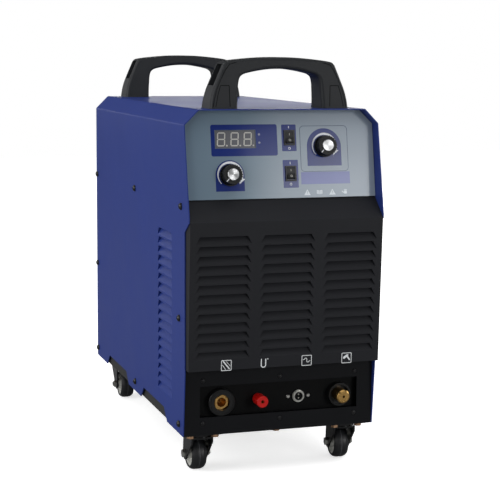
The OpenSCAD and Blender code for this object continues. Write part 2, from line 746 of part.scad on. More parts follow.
// Fluted knob with the potentiometer shaft it turns, and its aluminium cap
module knob(p) on_fascia() translate([p[0], p[1], 0]) {
    difference() {
        translate([0, 0, knob_foot]) union() {
            cylinder(r = knob_r, h = 3);
            cylinder(r = knob_r - 1.4, h = knob_h);
        }
        translate([0, 0, knob_foot - 1]) cylinder(r = 7.5, h = knob_hollow + 1);
        translate([0, 0, knob_foot]) cylinder(r = shaft_r + 0.03, h = knob_h - 2);
        for (i = [0:flutes - 1])
            rotate([0, 0, (i + 0.5) * 360 / flutes])
                translate([knob_r - 1.3, 0, knob_foot + 3.5]) cylinder(r = 1, h = knob_h, $fn = 16);
        rotate([0, 0, pointer_at])
            translate([cap_r + 0.6, -0.6, knob_foot + knob_h - 0.5]) cube([knob_r, 1.2, 2]);
    }
    translate([0, 0, -8]) cylinder(r = shaft_r, h = knob_h + 6);
}
module knob_cap(p) on_fascia() translate([p[0], p[1], knob_foot + knob_h]) {
    cylinder(r = cap_r, h = cap_h - 0.6);
    translate([0, 0, cap_h - 0.6]) cylinder(r1 = cap_r, r2 = cap_r - 0.6, h = 0.6);
}
module current_knob() in_frame() color("#1b1c1e") knob(current_at);
module current_knob_cap() in_frame() color("silver") knob_cap(current_at);
module delay_knob() in_frame() color("#1b1c1e") knob(delay_at);
module delay_knob_cap() in_frame() color("silver") knob_cap(delay_at);

// Sockets: Z runs out of the front; Z = 0 is the face of the board
module at_socket(x) on_front(x, board_y, socket_z) children();
module torch_insulator() in_frame() color(insulator_black) at_socket(torch_x) difference() {
    union() {
        cylinder(r = torch_r, h = torch_out - 1);
        translate([0, 0, torch_out - 1]) cylinder(r1 = torch_r, r2 = torch_r - 1, h = 1);
        translate([0, 0, -neck_l]) cylinder(r = torch_neck_r, h = neck_l + eps);
    }
    translate([0, 0, torch_out - 0.8]) difference() {
        cylinder(r = torch_r - 2.4, h = 2);
        cylinder(r = torch_r - 3.6, h = 2);
    }
    translate([0, 0, -neck_l - 1]) cylinder(r = torch_core_r + run_gap, h = neck_l + torch_out + 2);
}
module torch_socket() in_frame() color(brass) at_socket(torch_x) difference() {
    union() {
        translate([0, 0, torch_out + hex_face - hex_h])
            rotate([0, 0, 30]) cylinder(r = hex_af / sqrt(3), h = hex_h, $fn = 6);
        translate([0, 0, -neck_l - 14]) cylinder(r = torch_core_r, h = neck_l + torch_out + 15 + hex_face - hex_h);
        translate([0, 0, -neck_l - 32]) cylinder(r = 6, h = 19);
    }
    translate([0, 0, torch_out + hex_face - torch_bore_l]) cylinder(r = torch_bore_r, h = torch_bore_l + 1);
}
module work_insulator() in_frame() color(insulator_black) at_socket(work_x) difference() {
    union() {
        cylinder(r = work_r, h = torch_out);
        translate([0, 0, -neck_l]) cylinder(r = work_neck_r, h = neck_l + eps);
    }
    translate([0, 0, 3]) cylinder(r = work_r - 3, h = torch_out);
    translate([0, 0, -neck_l - 1]) cylinder(r = plug_shank_r + run_gap, h = neck_l + 10);
}
module work_plug() in_frame() color(brass) at_socket(work_x) difference() {
    union() {
        translate([0, 0, 3]) cylinder(r = work_plug_r, h = plug_out - 5);
        translate([0, 0, plug_out - 2]) cylinder(r1 = work_plug_r, r2 = work_plug_r - 2, h = 2);
        translate([0, 0, -neck_l - 14]) cylinder(r = plug_shank_r, h = neck_l + 18);
    }
    translate([0, 0, plug_out - 14]) cylinder(r = plug_hole_r, h = 16);
}
module post_collar() in_frame() color("#c21f28") at_socket(post_x) difference() {
    union() {
        cylinder(r = post_r, h = post_collar_h);
        translate([0, 0, -board_t - 1]) cylinder(r = post_neck_r, h = board_t + 1 + eps);
    }
    translate([0, 0, -board_t - 2]) cylinder(r = shaft_r + run_gap, h = 20);
}
module post_stud() in_frame() color(brass) at_socket(post_x) difference() {
    union() {
        translate([0, 0, -16]) cylinder(r = shaft_r, h = 16 + post_out - 3);
        translate([0, 0, -board_t - 5]) cylinder(r = 5.8, h = 4, $fn = 6);
    }
    translate([0, 0, post_out - 15]) cylinder(r = banana_r, h = 16);
}
module post_cap() in_frame() color("#c21f28") at_socket(post_x) difference() {
    union() {
        translate([0, 0, post_collar_h + 0.5]) cylinder(r = post_r - 1, h = 4);
        translate([0, 0, post_collar_h + 2]) cylinder(r = post_r, h = post_out - post_collar_h - 3);
        translate([0, 0, post_out - 1]) cylinder(r1 = post_r, r2 = post_r - 1, h = 1);
    }
    cylinder(r = shaft_r + run_gap, h = post_out + 1);
}
module control_socket() in_frame() color(zinc) at_socket(control_x) {
    difference() {
        union() {
            cylinder(r = control_socket_r, h = 2);
            cylinder(r = control_socket_r - 0.8, h = 4);
            translate([0, 0, -17]) cylinder(r = control_socket_r - 2, h = 17 + eps);
        }
        translate([0, 0, 1]) cylinder(r = control_socket_r - 3, h = 10);
    }
    for (y = [-2.8, 2.8]) translate([0, y, 0.5]) cylinder(r = 1, h = 2.5);
    for (side = [-1, 1]) translate([side * control_screw_x, 0, 0]) {
        cylinder(r1 = 3.2, r2 = 2.2, h = 1.6);
        translate([0, 0, -6]) cylinder(r = screw_r - 0.1, h = 6 + eps);
    }
}

// Cooling fan: Z runs out of the rear; Z = 0 is the outer face of the rear panel
module at_fan() on_rear(0, fan_z) children();
module fan_frame() in_frame() color(insulator_black) at_fan() difference() {
    union() {
        difference() {
            slab(fan_plate, fan_plate, -sheet - fan_depth, -sheet);
            translate([0, 0, -sheet - fan_depth - 1]) cylinder(r = fan_r + 2, h = fan_depth + 2);
        }
        translate([0, 0, -sheet - fan_depth]) {
            cylinder(r = fan_hub_r - 2, h = fan_mount_t);
            for (a = [45:90:315]) rotate([0, 0, a]) translate([fan_hub_r - 6, -4, 0])
                cube([fan_r - fan_hub_r + 12, 8, fan_mount_t]);
        }
    }
    translate([0, 0, -sheet - fan_depth - 1]) cylinder(r = shaft_r + run_gap, h = fan_mount_t + 2);
    fan_corners() translate([0, 0, -sheet - fan_depth - 1]) cylinder(r = screw_hole_r, h = fan_depth + 2);
}
module fan_rotor() in_frame() color("#1d1e20") at_fan() translate([0, 0, -sheet - fan_depth]) {
    translate([0, 0, fan_mount_t + 1]) cylinder(r = fan_hub_r, h = fan_depth - fan_mount_t - 7);
    cylinder(r = shaft_r, h = fan_mount_t + 2);
    intersection() {
        translate([0, 0, fan_mount_t + 1]) cylinder(r = fan_r, h = fan_depth - fan_mount_t - 3);
        for (i = [0:6]) rotate([0, 0, i * 360 / 7])
            translate([fan_hub_r - 3, 0, fan_depth / 2 + 1]) rotate([38, 0, 0])
                translate([0, -20, -1]) cube([fan_r, 40, 2]);
    }
}
module fan_guard() in_frame() color(zinc) at_fan() {
    translate([0, 0, guard_out]) linear_extrude(guard_t) {
        for (r = [20:14:fan_r]) difference() {
            circle(r = r + 1.2);
            circle(r = r - 1.2);
        }
        circle(r = 9);
        difference() {
            for (a = [45, 135]) rotate([0, 0, a])
                square([fan_screw_pitch * sqrt(2), 3], center = true);
            circle(r = 8);
            fan_corners() circle(r = 4);
        }
        difference() {
            fan_corners() circle(r = 6);
            fan_corners() circle(r = screw_hole_r);
        }
    }
    difference() {
        fan_corners() cylinder(r = 5, h = guard_out + eps);
        fan_corners() translate([0, 0, -1]) cylinder(r = screw_hole_r, h = guard_out + 2);
    }
}

// Mains breaker with its lever
module at_breaker() on_rear(breaker_at[0], breaker_at[1]) children();
module breaker_body() in_frame() color(insulator_black) at_breaker() difference() {
    union() {
        slab(breaker_w, breaker_h, -sheet - breaker_depth, -sheet);
        slab(breaker_w - 4, nose_h, -sheet - 1, nose_out);
    }
    slab(lever_w + 2 * fit_gap, nose_h - 10, lever_z, nose_out + 1);
    translate([0, 0, lever_z]) rotate([0, 90, 0])
        cylinder(r = lever_r + fit_gap, h = lever_w + 2 * fit_gap, center = true);
    translate([0, 0, lever_z]) rotate([0, 90, 0])
        cylinder(r = 1.5 + run_gap, h = lever_w + 8, center = true);
}
module breaker_lever() in_frame() color("#1d1e20") at_breaker() translate([0, 0, lever_z])
    rotate([lever_rest, 0, 0]) {
        rotate([0, 90, 0]) cylinder(r = lever_r, h = lever_w, center = true);
        rotate([0, 90, 0]) cylinder(r = 1.5, h = lever_w + 7, center = true);
        slab(lever_w - 4, 6, 0, lever_r + 14);
    }

// Cable gland, gas spigot and earth bolt
module cable_gland() in_frame() color(insulator_black) on_rear(gland_at[0], gland_at[1]) difference() {
    union() {
        cylinder(r = 17, h = 6, $fn = 6);
        translate([0, 0, 6 - eps]) cylinder(r = 13, h = 10);
        translate([0, 0, 15.8]) cylinder(r1 = 13, r2 = 10, h = 6);
        translate([0, 0, -sheet - 8]) cylinder(r = gland_thread_r, h = 8 + sheet + eps);
        translate([0, 0, -sheet - 5]) cylinder(r = 15, h = 5, $fn = 6);
    }
    translate([0, 0, -20]) cylinder(r = gland_bore_r, h = 50);
}
module gas_inlet() in_frame() color(brass) on_rear(gas_at[0], gas_at[1]) {
    cylinder(r = 9.8, h = 8, $fn = 6);
    translate([0, 0, 8 - eps]) cylinder(r = barb_r, h = spigot_l + eps);
    translate([0, 0, 8 + spigot_l])
        cylinder(r1 = barb_r, r2 = barb_r - 1.4, h = rear_reach + cabinet_d - rear_face - 8 - spigot_l);
    translate([0, 0, -sheet - 12]) cylinder(r = gas_thread_r, h = 12 + sheet + eps);
}
module earth_bolt() in_frame() color(zinc) on_rear(earth_at[0], earth_at[1]) {
    cylinder(r = 8, h = 1.6);
    translate([0, 0, 1.6 - eps]) cylinder(r = 7.5, h = 5.4, $fn = 6);
    translate([0, 0, -sheet - 16]) cylinder(r = 4, h = 16 + sheet + eps);
    translate([0, 0, -sheet - 6.5]) cylinder(r = 7.5, h = 6.5, $fn = 6);
}

// Power section on the floor tray
module heat_sinks() in_frame() color("silver") for (side = [-1, 1])
    translate([side * sink_x - sink_w / 2, sink_y, floor_t]) {
        translate([0, 0, sink_top - 8]) cube([sink_w, sink_l, 8]);
        for (i = [0:sink_fins - 1])
            let (low = i == 0 || i == sink_fins - 1 ? 0 : 8)
                translate([i * (sink_w - 3) / (sink_fins - 1), 0, low])
                    cube([3, sink_l, sink_top - low - 7]);
    }
module power_board() in_frame() color("#3c6b3f") translate([0, sink_y, floor_t + sink_top]) {
    for (x = [-sink_x, sink_x], y = [15, sink_l - 15])
        translate([x, y, 0]) cylinder(r = 4, h = pcb_gap + eps);
    translate([-sink_x - sink_w / 2, 0, pcb_gap]) cube([2 * sink_x + sink_w, sink_l, pcb_t]);
    for (x = capacitor_x, y = capacitor_y)
        translate([x, y, pcb_gap + pcb_t / 2]) cylinder(r = capacitor_r, h = capacitor_h);
}
module control_board() in_frame() color("#3c6b3f") on_fascia() {
    translate([-board_half_w, board_foot, board_w]) cube([2 * board_half_w, board_l, 1.6]);
    for (side = [-1, 1], y = [board_foot + 6, board_foot + board_l - 6])
        translate([side * (board_half_w - 6), y, board_w + 1]) cylinder(r = 3, h = face_back - board_w - 1);
    for (x = chip_x)
        translate([x, board_foot + (board_l - chip_size[1]) / 2, board_w - chip_size[2] + 0.5]) cube(chip_size);
}
module main_transformer() in_frame() color("#4a4038")
    translate([transformer_at[0], transformer_at[1], floor_t]) {
        difference() {
            block(core_size, 0);
            for (side = [-1, 1]) translate([side * core_size[0] / 4, 0, 0])
                block([core_window[0], core_size[1] + 2, core_window[1]], coil_z - 2);
        }
        difference() {
            block(coil_size, coil_z);
            block([core_size[0] / 2 - core_window[0] + 0.8, core_size[1], coil_size[2] + 2], coil_z - 1);
        }
    }
// A block centred over the origin in X and Y, standing at height z
module block(size, z) translate([-size[0] / 2, -size[1] / 2, z]) cube(size);
module gas_valve() in_frame() color(brass) on_rear(gas_at[0], gas_at[1]) difference() {
    union() {
        slab(valve_w, valve_w, -sheet - valve_l, -sheet);
        translate([0, 1 - valve_w / 2, -sheet - coil_r - 8]) rotate([90, 0, 0]) cylinder(r = coil_r, h = coil_l);
    }
    translate([0, 0, -sheet - valve_l / 2]) cylinder(r = gas_thread_r + 0.15, h = valve_l);
}

// Casters: Z = 0 is the underside of the floor tray; the axle trails the swivel pin
module at_pins() for (c = [front_left, front_right, rear_left, rear_right])
    translate([c[0][0], c[0][1], 0]) children();
module plate_corners() for (x = [-1, 1], y = [-1, 1])
    translate([x * caster_bolt_pitch / 2, y * caster_bolt_pitch / 2, 0]) children();
module at_base_bolts() {
    at_pins() plate_corners() children();
    translate([0, 17, 0]) children();
}
module at_caster(c) translate([c[0][0], c[0][1], 0]) rotate([0, 0, c[1]]) children();
module at_wheel(c) at_caster(c) translate([0, caster_trail, axle_z]) rotate([0, 90, 0]) children();
module caster_plates() in_frame() color(black_steel) at_pins() difference() {
    union() {
        translate([-plate_w / 2, -plate_w / 2, -plate_t]) cube([plate_w, plate_w, plate_t]);
        translate([0, 0, -plate_t - race_h]) cylinder(r = race_r, h = race_h + eps);
        translate([0, 0, fork_top - fork_t - 1]) cylinder(r = king_r, h = fork_t + 2);
        translate([0, 0, fork_top - fork_t - run_gap - 1.6]) cylinder(r = 7, h = 1.6);
    }
    plate_corners() translate([0, 0, -plate_t - 1]) cylinder(r = bolt_hole_r, h = plate_t + 2);
}
module base_bolt(seat) {
    translate([0, 0, -seat - washer_t]) cylinder(r = 6, h = washer_t);
    translate([0, 0, -seat - washer_t - bolt_head_h]) cylinder(r = 5.8, h = bolt_head_h + eps, $fn = 6);
    translate([0, 0, -seat - eps]) cylinder(r = bolt_r, h = seat + floor_t + 8);
    translate([0, 0, floor_t]) cylinder(r = 5.8, h = 5, $fn = 6);
}
module base_bolts() in_frame() color("#c9a96a") {
    at_pins() plate_corners() base_bolt(plate_t);
    translate([0, 17, 0]) base_bolt(0);
}
module fork(c) in_frame() color(black_steel) at_caster(c) difference() {
    union() {
        translate([0, 0, fork_top - fork_t]) linear_extrude(fork_t) {
            circle(r = 19);
            translate([-fork_in - fork_t, -16]) square([2 * (fork_in + fork_t), 42]);
        }
        for (side = [-1, 1])
            translate([side * (fork_in + fork_t / 2), 0, 0]) across(fork_t) {
                polygon([
                    [-16, fork_top], [-16, fork_top - 8],
                    [caster_trail, axle_z] + leg_end_r * [cos(205), sin(205)],
                    [caster_trail, axle_z], [caster_trail + leg_end_r, axle_z],
                    [26, fork_top]
                ]);
                translate([caster_trail, axle_z]) circle(r = leg_end_r);
            }
    }
    cylinder(r = king_r + run_gap, h = 100, center = true);
    translate([0, caster_trail, axle_z]) rotate([0, 90, 0])
        cylinder(r = axle_r + run_gap, h = 100, center = true);
}
module axle(c) in_frame() color(zinc) at_wheel(c) {
    outer = fork_in + fork_t;
    translate([0, 0, -outer - 1]) cylinder(r = axle_r, h = 2 * outer + axle_head_h + axle_end);
    translate([0, 0, -outer - axle_head_h]) cylinder(r = axle_head_r, h = axle_head_h, $fn = 6);
    translate([0, 0, outer]) cylinder(r = axle_head_r, h = axle_head_h, $fn = 6);
}
module tyre(c) in_frame() color("#202226") at_wheel(c) rotate_extrude() polygon([
    [hub_r + run_gap, -tread_w / 2], [wheel_r - 4.2, -tread_w / 2], [wheel_r - 1.6, 1.6 - tread_w / 2],
    [wheel_r - 0.4, 4.6 - tread_w / 2], [wheel_r, 8 - tread_w / 2],
    [wheel_r, tread_w / 2 - 8], [wheel_r - 0.4, tread_w / 2 - 4.6],
    [wheel_r - 1.6, tread_w / 2 - 1.6], [wheel_r - 4.2, tread_w / 2], [hub_r + run_gap, tread_w / 2]
]);
module hub(c) in_frame() color("#c8c8c3") at_wheel(c) rotate_extrude() {
    polygon([
        [axle_r + run_gap, -hub_w / 2], [8, -hub_w / 2], [8.6, -4], [hub_r - 3, -4],
        [hub_r - 2.4, 1 - tread_w / 2], [hub_r, 1 - tread_w / 2],
        [hub_r, tread_w / 2 - 1], [hub_r - 2.4, tread_w / 2 - 1],
        [hub_r - 3, 4], [8.6, 4], [8, hub_w / 2], [axle_r + run_gap, hub_w / 2]
    ]);
}
module front_left_fork() fork(front_left);
module front_left_axle() axle(front_left);
module front_left_tyre() tyre(front_left);
module front_left_hub() hub(front_left);
module front_right_fork() fork(front_right);
module front_right_axle() axle(front_right);
module front_right_tyre() tyre(front_right);
module front_right_hub() hub(front_right);
module rear_left_fork() fork(rear_left);
module rear_left_axle() axle(rear_left);
module rear_left_tyre() tyre(rear_left);
module rear_left_hub() hub(rear_left);
module rear_right_fork() fork(rear_right);
module rear_right_axle() axle(rear_right);
module rear_right_tyre() tyre(rear_right);
module rear_right_hub() hub(rear_right);

outer_cover();
base_tray();
inner_deck();
fascia_panel();
fascia_film();
louvre_panel();
socket_panel();
socket_board();
rear_panel();
front_handle();
rear_handle();
panel_screws();
display_module();
potentiometers();
switch_frames();
mode_rocker();
gas_rocker();
current_knob();
current_knob_cap();
delay_knob();
delay_knob_cap();
torch_insulator();
torch_socket();
work_insulator();
work_plug();
post_collar();
post_stud();
post_cap();
control_socket();
fan_frame();
fan_guard();
fan_rotor();
breaker_body();
breaker_lever();
cable_gland();
gas_inlet();
earth_bolt();
heat_sinks();
power_board();
control_board();
main_transformer();
gas_valve();
caster_plates();
base_bolts();
front_left_fork();
front_left_axle();
front_left_tyre();
front_left_hub();
front_right_fork();
front_right_axle();
front_right_tyre();
front_right_hub();
rear_left_fork();
rear_left_axle();
rear_left_tyre();
rear_left_hub();
rear_right_fork();
rear_right_axle();
rear_right_tyre();
rear_right_hub();
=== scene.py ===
# Plasma cutter power unit: finishes, printed marks, small fittings and a plain studio
import math
import bmesh
import bpy
from mathutils import Matrix, Vector
from mathutils.bvhtree import BVHTree


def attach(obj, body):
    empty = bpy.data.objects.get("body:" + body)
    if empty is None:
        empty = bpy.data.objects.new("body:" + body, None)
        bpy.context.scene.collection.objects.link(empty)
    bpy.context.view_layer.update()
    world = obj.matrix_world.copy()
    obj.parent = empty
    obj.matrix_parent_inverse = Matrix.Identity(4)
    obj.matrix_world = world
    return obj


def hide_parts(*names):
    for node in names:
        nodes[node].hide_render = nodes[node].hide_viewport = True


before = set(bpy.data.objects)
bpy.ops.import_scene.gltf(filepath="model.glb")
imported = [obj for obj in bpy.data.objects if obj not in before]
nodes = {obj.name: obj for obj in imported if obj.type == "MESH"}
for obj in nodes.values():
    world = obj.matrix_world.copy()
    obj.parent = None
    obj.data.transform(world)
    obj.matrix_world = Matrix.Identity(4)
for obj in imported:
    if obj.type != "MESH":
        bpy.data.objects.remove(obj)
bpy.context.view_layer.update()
print("frame loaded:", len(nodes), "nodes")

# ---- places, in millimetres from the cabinet's floor and its top front edge
cabinet = {"middle": 301.0, "floor": 66.0, "halfWidth": 150.0, "roof": 479.0}


def inCabinet(x, y, z):
    return Vector((x, y - cabinet["middle"], z + cabinet["floor"])) / 1000


def facing(x, y, z, lean=0.0, turn=0.0):
    # for things drawn flat: X across, Y up and Z out of the face
    tilt = Matrix.Rotation(math.radians(90 - lean), 4, "X")
    return Matrix.Translation(inCabinet(x, y, z)) @ Matrix.Rotation(math.radians(turn), 4, "Z") @ tilt


panelFace = facing(0, 0.6, 349, 9.8)
louvreFace = facing(0, -21.5, 102, -math.degrees(math.atan2(8.5, 217.5)))


def along(place, x, y, z=0.0):
    return place @ Matrix.Translation(Vector((x, y, z)) / 1000)


# ---- finishes
def linear(hexColour):
    parts = [int(hexColour[i:i + 2], 16) / 255 for i in (1, 3, 5)]
    return [c / 12.92 if c <= 0.04045 else ((c + 0.055) / 1.055) ** 2.4 for c in parts] + [1.0]


def addNode(tree, kind, settings=None, **links):
    # links name an input with a value, a colour or another node's output
    node = tree.nodes.new(kind)
    for key, value in (settings or {}).items():
        setattr(node, key, value)
    for key, value in links.items():
        socket = node.inputs[int(key[1:])] if key[0] == "i" and key[1:].isdigit() else node.inputs[key.replace("_", " ")]
        if isinstance(value, bpy.types.NodeSocket):
            tree.links.new(value, socket)
        else:
            socket.default_value = value
    return node


def newFinish(name, colour, roughness, metallic=0.0, **shader):
    material = bpy.data.materials.new(name)
    material.use_nodes = True
    tree = material.node_tree
    surface = tree.nodes["Principled BSDF"]
    surface.inputs["Base Color"].default_value = linear(colour)
    surface.inputs["Roughness"].default_value = roughness
    surface.inputs["Metallic"].default_value = metallic
    for key, value in shader.items():
        surface.inputs[key.replace("_", " ")].default_value = value
    place = addNode(tree, "ShaderNodeTexCoord").outputs["Object"]
    return material, tree, surface, place


def grained(name, colour, roughness, grain, height, mottle=0.05, patch=60.0, metallic=0.0, wear=0.06, **shader):
    # a moulded or coated finish: fine grain in the relief, slow drift in colour and gloss.
    # grain and patch are sizes in millimetres
    material, tree, surface, place = newFinish(name, colour, roughness, metallic, **shader)
    fine = addNode(tree, "ShaderNodeTexNoise", Vector=place, Scale=1000 / grain, Detail=2.0, Roughness=0.55)
    slow = addNode(tree, "ShaderNodeTexNoise", Vector=place, Scale=1000 / patch, Detail=3.0)
    base = linear(colour)
    tint = addNode(tree, "ShaderNodeValToRGB", Fac=slow.outputs["Fac"])
    tint.color_ramp.elements[0].position = 0.3
    tint.color_ramp.elements[1].position = 0.7
    tint.color_ramp.elements[0].color = [c * (1 - mottle) for c in base[:3]] + [1]
    tint.color_ramp.elements[1].color = [min(1, c * (1 + mottle)) for c in base[:3]] + [1]
    tree.links.new(tint.outputs["Color"], surface.inputs["Base Color"])
    gloss = addNode(tree, "ShaderNodeMapRange", Value=slow.outputs["Fac"])
    gloss.inputs["To Min"].default_value = max(0.02, roughness - wear)
    gloss.inputs["To Max"].default_value = min(1, roughness + wear)
    tree.links.new(gloss.outputs["Result"], surface.inputs["Roughness"])
    relief = addNode(tree, "ShaderNodeBump", Height=fine.outputs["Fac"], Strength=1.0, Distance=height / 1000)
    tree.links.new(relief.outputs["Normal"], surface.inputs["Normal"])
    return material


def turned(name, colour, roughness, centre, ring, height, metallic=1.0):
    # lathe-turned metal: fine rings about an axis through centre, along the drawn Z
    material, tree, surface, place = newFinish(name, colour, roughness, metallic)
    spot, angle = centre
    moved = addNode(tree, "ShaderNodeMapping", {"vector_type": "TEXTURE"}, Vector=place)
    moved.inputs["Location"].default_value = spot
    moved.inputs["Rotation"].default_value = (angle, 0, 0)
    rings = addNode(tree, "ShaderNodeTexWave", {"wave_type": "RINGS", "rings_direction": "Z"},
                    Vector=moved.outputs["Vector"], Scale=1000 / ring / 6.283, Distortion=0.6, Detail=2.0)
    smear = addNode(tree, "ShaderNodeTexNoise", Vector=moved.outputs["Vector"], Scale=90.0, Detail=4.0)
    gloss = addNode(tree, "ShaderNodeMapRange", Value=smear.outputs["Fac"])
    gloss.inputs["To Min"].default_value = roughness - 0.07
    gloss.inputs["To Max"].default_value = roughness + 0.12
    tree.links.new(gloss.outputs["Result"], surface.inputs["Roughness"])
    base = linear(colour)
    tint = addNode(tree, "ShaderNodeValToRGB", Fac=smear.outputs["Fac"])
    tint.color_ramp.elements[0].color = [c * 0.8 for c in base[:3]] + [1]
    tint.color_ramp.elements[1].color = base
    tree.links.new(tint.outputs["Color"], surface.inputs["Base Color"])
    relief = addNode(tree, "ShaderNodeBump", Height=rings.outputs["Fac"], Strength=0.6, Distance=height / 1000)
    tree.links.new(relief.outputs["Normal"], surface.inputs["Normal"])
    return material


quarter = math.radians(90)


def panelSpot(x, v):
    return along(panelFace, x, v).translation


def spun(name, colour, centre):
    # the tangent runs round the cap's axis, so the gloss stretches across the rings
    material, tree, surface, place = newFinish(name, colour, 0.3, 1.0, Anisotropic=0.85)
    out = panelFace.to_3x3() @ Vector((0, 0, 1))
    arm = addNode(tree, "ShaderNodeVectorMath", {"operation": "SUBTRACT"}, i0=place, i1=centre)
    aroundAxis = addNode(tree, "ShaderNodeVectorMath", {"operation": "CROSS_PRODUCT"}, i0=arm.outputs["Vector"], i1=out)
    unit = addNode(tree, "ShaderNodeVectorMath", {"operation": "NORMALIZE"}, i0=aroundAxis.outputs["Vector"])
    tree.links.new(unit.outputs["Vector"], surface.inputs["Tangent"])
    reach = addNode(tree, "ShaderNodeVectorMath", {"operation": "LENGTH"}, i0=arm.outputs["Vector"])
    # rings 0.35 mm apart, coarser than the real tool marks so that they show
    phase = addNode(tree, "ShaderNodeMath", {"operation": "MULTIPLY"}, i0=reach.outputs["Value"], i1=2 * math.pi / 0.00035)
    ripple = addNode(tree, "ShaderNodeMath", {"operation": "SINE"}, i0=phase.outputs["Value"])
    relief = addNode(tree, "ShaderNodeBump", Height=ripple.outputs["Value"], Strength=0.5, Distance=0.000008)
    tree.links.new(relief.outputs["Normal"], surface.inputs["Normal"])
    return material


finishes = {
    # polyester powder coat, baked on sheet: slight orange peel that softens reflections
    "bluePowderCoat": grained("bluePowderCoat", "#26377a", 0.42, 1.6, 0.012, 0.03, 120, Specular_IOR_Level=0.12),
    # dipped black enamel on the pressed caster parts: glossy, with a soft roll to it
    "casterEnamel": grained("casterEnamel", "#0e0f11", 0.24, 2.5, 0.01, 0.05, 20, wear=0.06),
    # fine-textured powder coat: dull, with a sandy grain drawn coarser than the real 0.3 mm
    "blackPowderCoat": grained("blackPowderCoat", "#212226", 0.52, 0.9, 0.02, 0.05, 90, wear=0.03, Specular_IOR_Level=0.18),
    # the same coat, painted darker as painted shade for the recess where the light hardly reaches
    "shadedRecessCoat": grained("shadedRecessCoat", "#131417", 0.5, 0.9, 0.02, 0.06, 90, wear=0.03, Specular_IOR_Level=0.12),
    "greyPowderCoat": grained("greyPowderCoat", "#30302f", 0.6, 0.9, 0.02, 0.08, 70, Specular_IOR_Level=0.3),
    # glass-filled nylon with a spark-eroded grain: soft broad highlights
    "grainedNylon": grained("grainedNylon", "#232528", 0.52, 0.8, 0.03, 0.07, 30, wear=0.03, Specular_IOR_Level=0.3),
    "glossyNylon": grained("glossyNylon", "#b5100c", 0.3, 1.2, 0.01, 0.05, 12, Specular_IOR_Level=0.35),
    # the dark of a narrow groove in the moulding
    "grooveShade": grained("grooveShade", "#060708", 0.8, 0.8, 0.01, 0.05, 20, Specular_IOR_Level=0.1),
    # phenolic moulding: nearly black, faint flow marks
    "phenolic": grained("phenolic", "#0c0d0e", 0.36, 1.0, 0.015, 0.1, 14, Specular_IOR_Level=0.4),
    "moulding": grained("mouldedAbs", "#131416", 0.34, 1.0, 0.012, 0.06, 20),
    # knob moulding: the same plastic with a duller skin
    "knobPlastic": grained("knobAbs", "#0d0e0f", 0.4, 0.9, 0.012, 0.06, 12, Specular_IOR_Level=0.3),
    "boardPhenolic": grained("boardPhenolic", "#050607", 0.5, 1.0, 0.015, 0.08, 40, Specular_IOR_Level=0.12),
    # polypropylene wheel centre, lightly scuffed
    "polypropylene": grained("polypropylene", "#c8c8c3", 0.45, 1.0, 0.02, 0.06, 10),
    "rubber": grained("treadRubber", "#1d1e21", 0.42, 0.8, 0.02, 0.12, 14, Specular_IOR_Level=0.5),
    # the rubber where the two halves of the mould met, painted pale as the highlight the seam catches
    "seamHighlightRubber": grained("seamHighlightRubber", "#5c5d60", 0.5, 0.8, 0.01, 0.1, 14),
    # zinc plate: cool grey metal with cloudy patches
    "zincPlate": grained("zincPlate", "#d2d2cc", 0.3, 0.7, 0.01, 0.1, 5, 1.0, 0.1),
    "yellowZinc": grained("yellowZinc", "#e6b993", 0.24, 0.7, 0.01, 0.18, 4, 1.0, 0.1),
    "blackenedSteel": grained("blackenedSteel", "#0a0b0e", 0.32, 0.6, 0.01, 0.1, 5, 0.0, 0.05),
    "extrudedAluminium": grained("extrudedAluminium", "#b4b6b8", 0.38, 0.6, 0.01, 0.06, 20, 1.0, 0.08),
    "solderResist": grained("solderResist", "#2f6b3c", 0.35, 1.5, 0.03, 0.2, 9),
    "varnish": grained("windingVarnish", "#5a3a26", 0.3, 1.2, 0.15, 0.2, 12),
    "smokedAcrylic": grained("smokedAcrylic", "#5d5e64", 0.16, 3.0, 0.002, 0.03, 40, Coat_Weight=0.4, Coat_Roughness=0.08),
    "brass": grained("turnedBrass", "#b98b4a", 0.3, 0.8, 0.008, 0.1, 6, 1.0, 0.08),
    "gasBrass": grained("plainBrass", "#b98f4c", 0.34, 0.8, 0.008, 0.12, 8, 1.0, 0.08),
    # spun aluminium: fine rings that draw the highlight into two fans across the face
    "currentCap": spun("spunCapCurrent", "#cfd0d1", panelSpot(69.3, 75.1)),
    "delayCap": spun("spunCapDelay", "#cfd0d1", panelSpot(-78.4, 34.9)),
    "hexBrass": turned("turnedHexBrass", "#dcb06a", 0.3, (inCabinet(-90.2, 0, 47.7), quarter), 0.6, 0.02),
    "plugBrass": turned("turnedPlugBrass", "#dcb06a", 0.28, (inCabinet(96.5, 0, 47.7), quarter), 0.6, 0.02),
}


def filmWithPaintedReflection():
    # polyester film, silver-grey print with painted reflection: the colour deepens to slate on the left and pales to
    # the right
    material, tree, surface, place = newFinish("filmWithPaintedReflection", "#7d8d99", 0.12)
    split = addNode(tree, "ShaderNodeSeparateXYZ", Vector=place)
    across = addNode(tree, "ShaderNodeMapRange", Value=split.outputs["X"])
    across.inputs["From Min"].default_value = -0.148
    across.inputs["From Max"].default_value = 0.148
    # painted reflection: the ramp runs from slate on the left to pale silver on the right
    ramp = addNode(tree, "ShaderNodeValToRGB", Fac=across.outputs["Result"])
    paintedReflectionStops = [(0.0, "#687b8a"), (0.3, "#6f8290"), (0.5, "#8996a2"), (0.75, "#8d99a5"), (1.0, "#8d99a5")]
    while len(ramp.color_ramp.elements) < len(paintedReflectionStops):
        ramp.color_ramp.elements.new(0.5)
    for element, (spot, shade) in zip(ramp.color_ramp.elements, paintedReflectionStops):
        element.position = spot
        element.color = linear(shade)
    tree.links.new(ramp.outputs["Color"], surface.inputs["Base Color"])
    grain = addNode(tree, "ShaderNodeTexNoise", Vector=place, Scale=900.0, Detail=2.0)
    relief = addNode(tree, "ShaderNodeBump", Height=grain.outputs["Fac"], Strength=1.0, Distance=0.000006)
    tree.links.new(relief.outputs["Normal"], surface.inputs["Normal"])
    return material


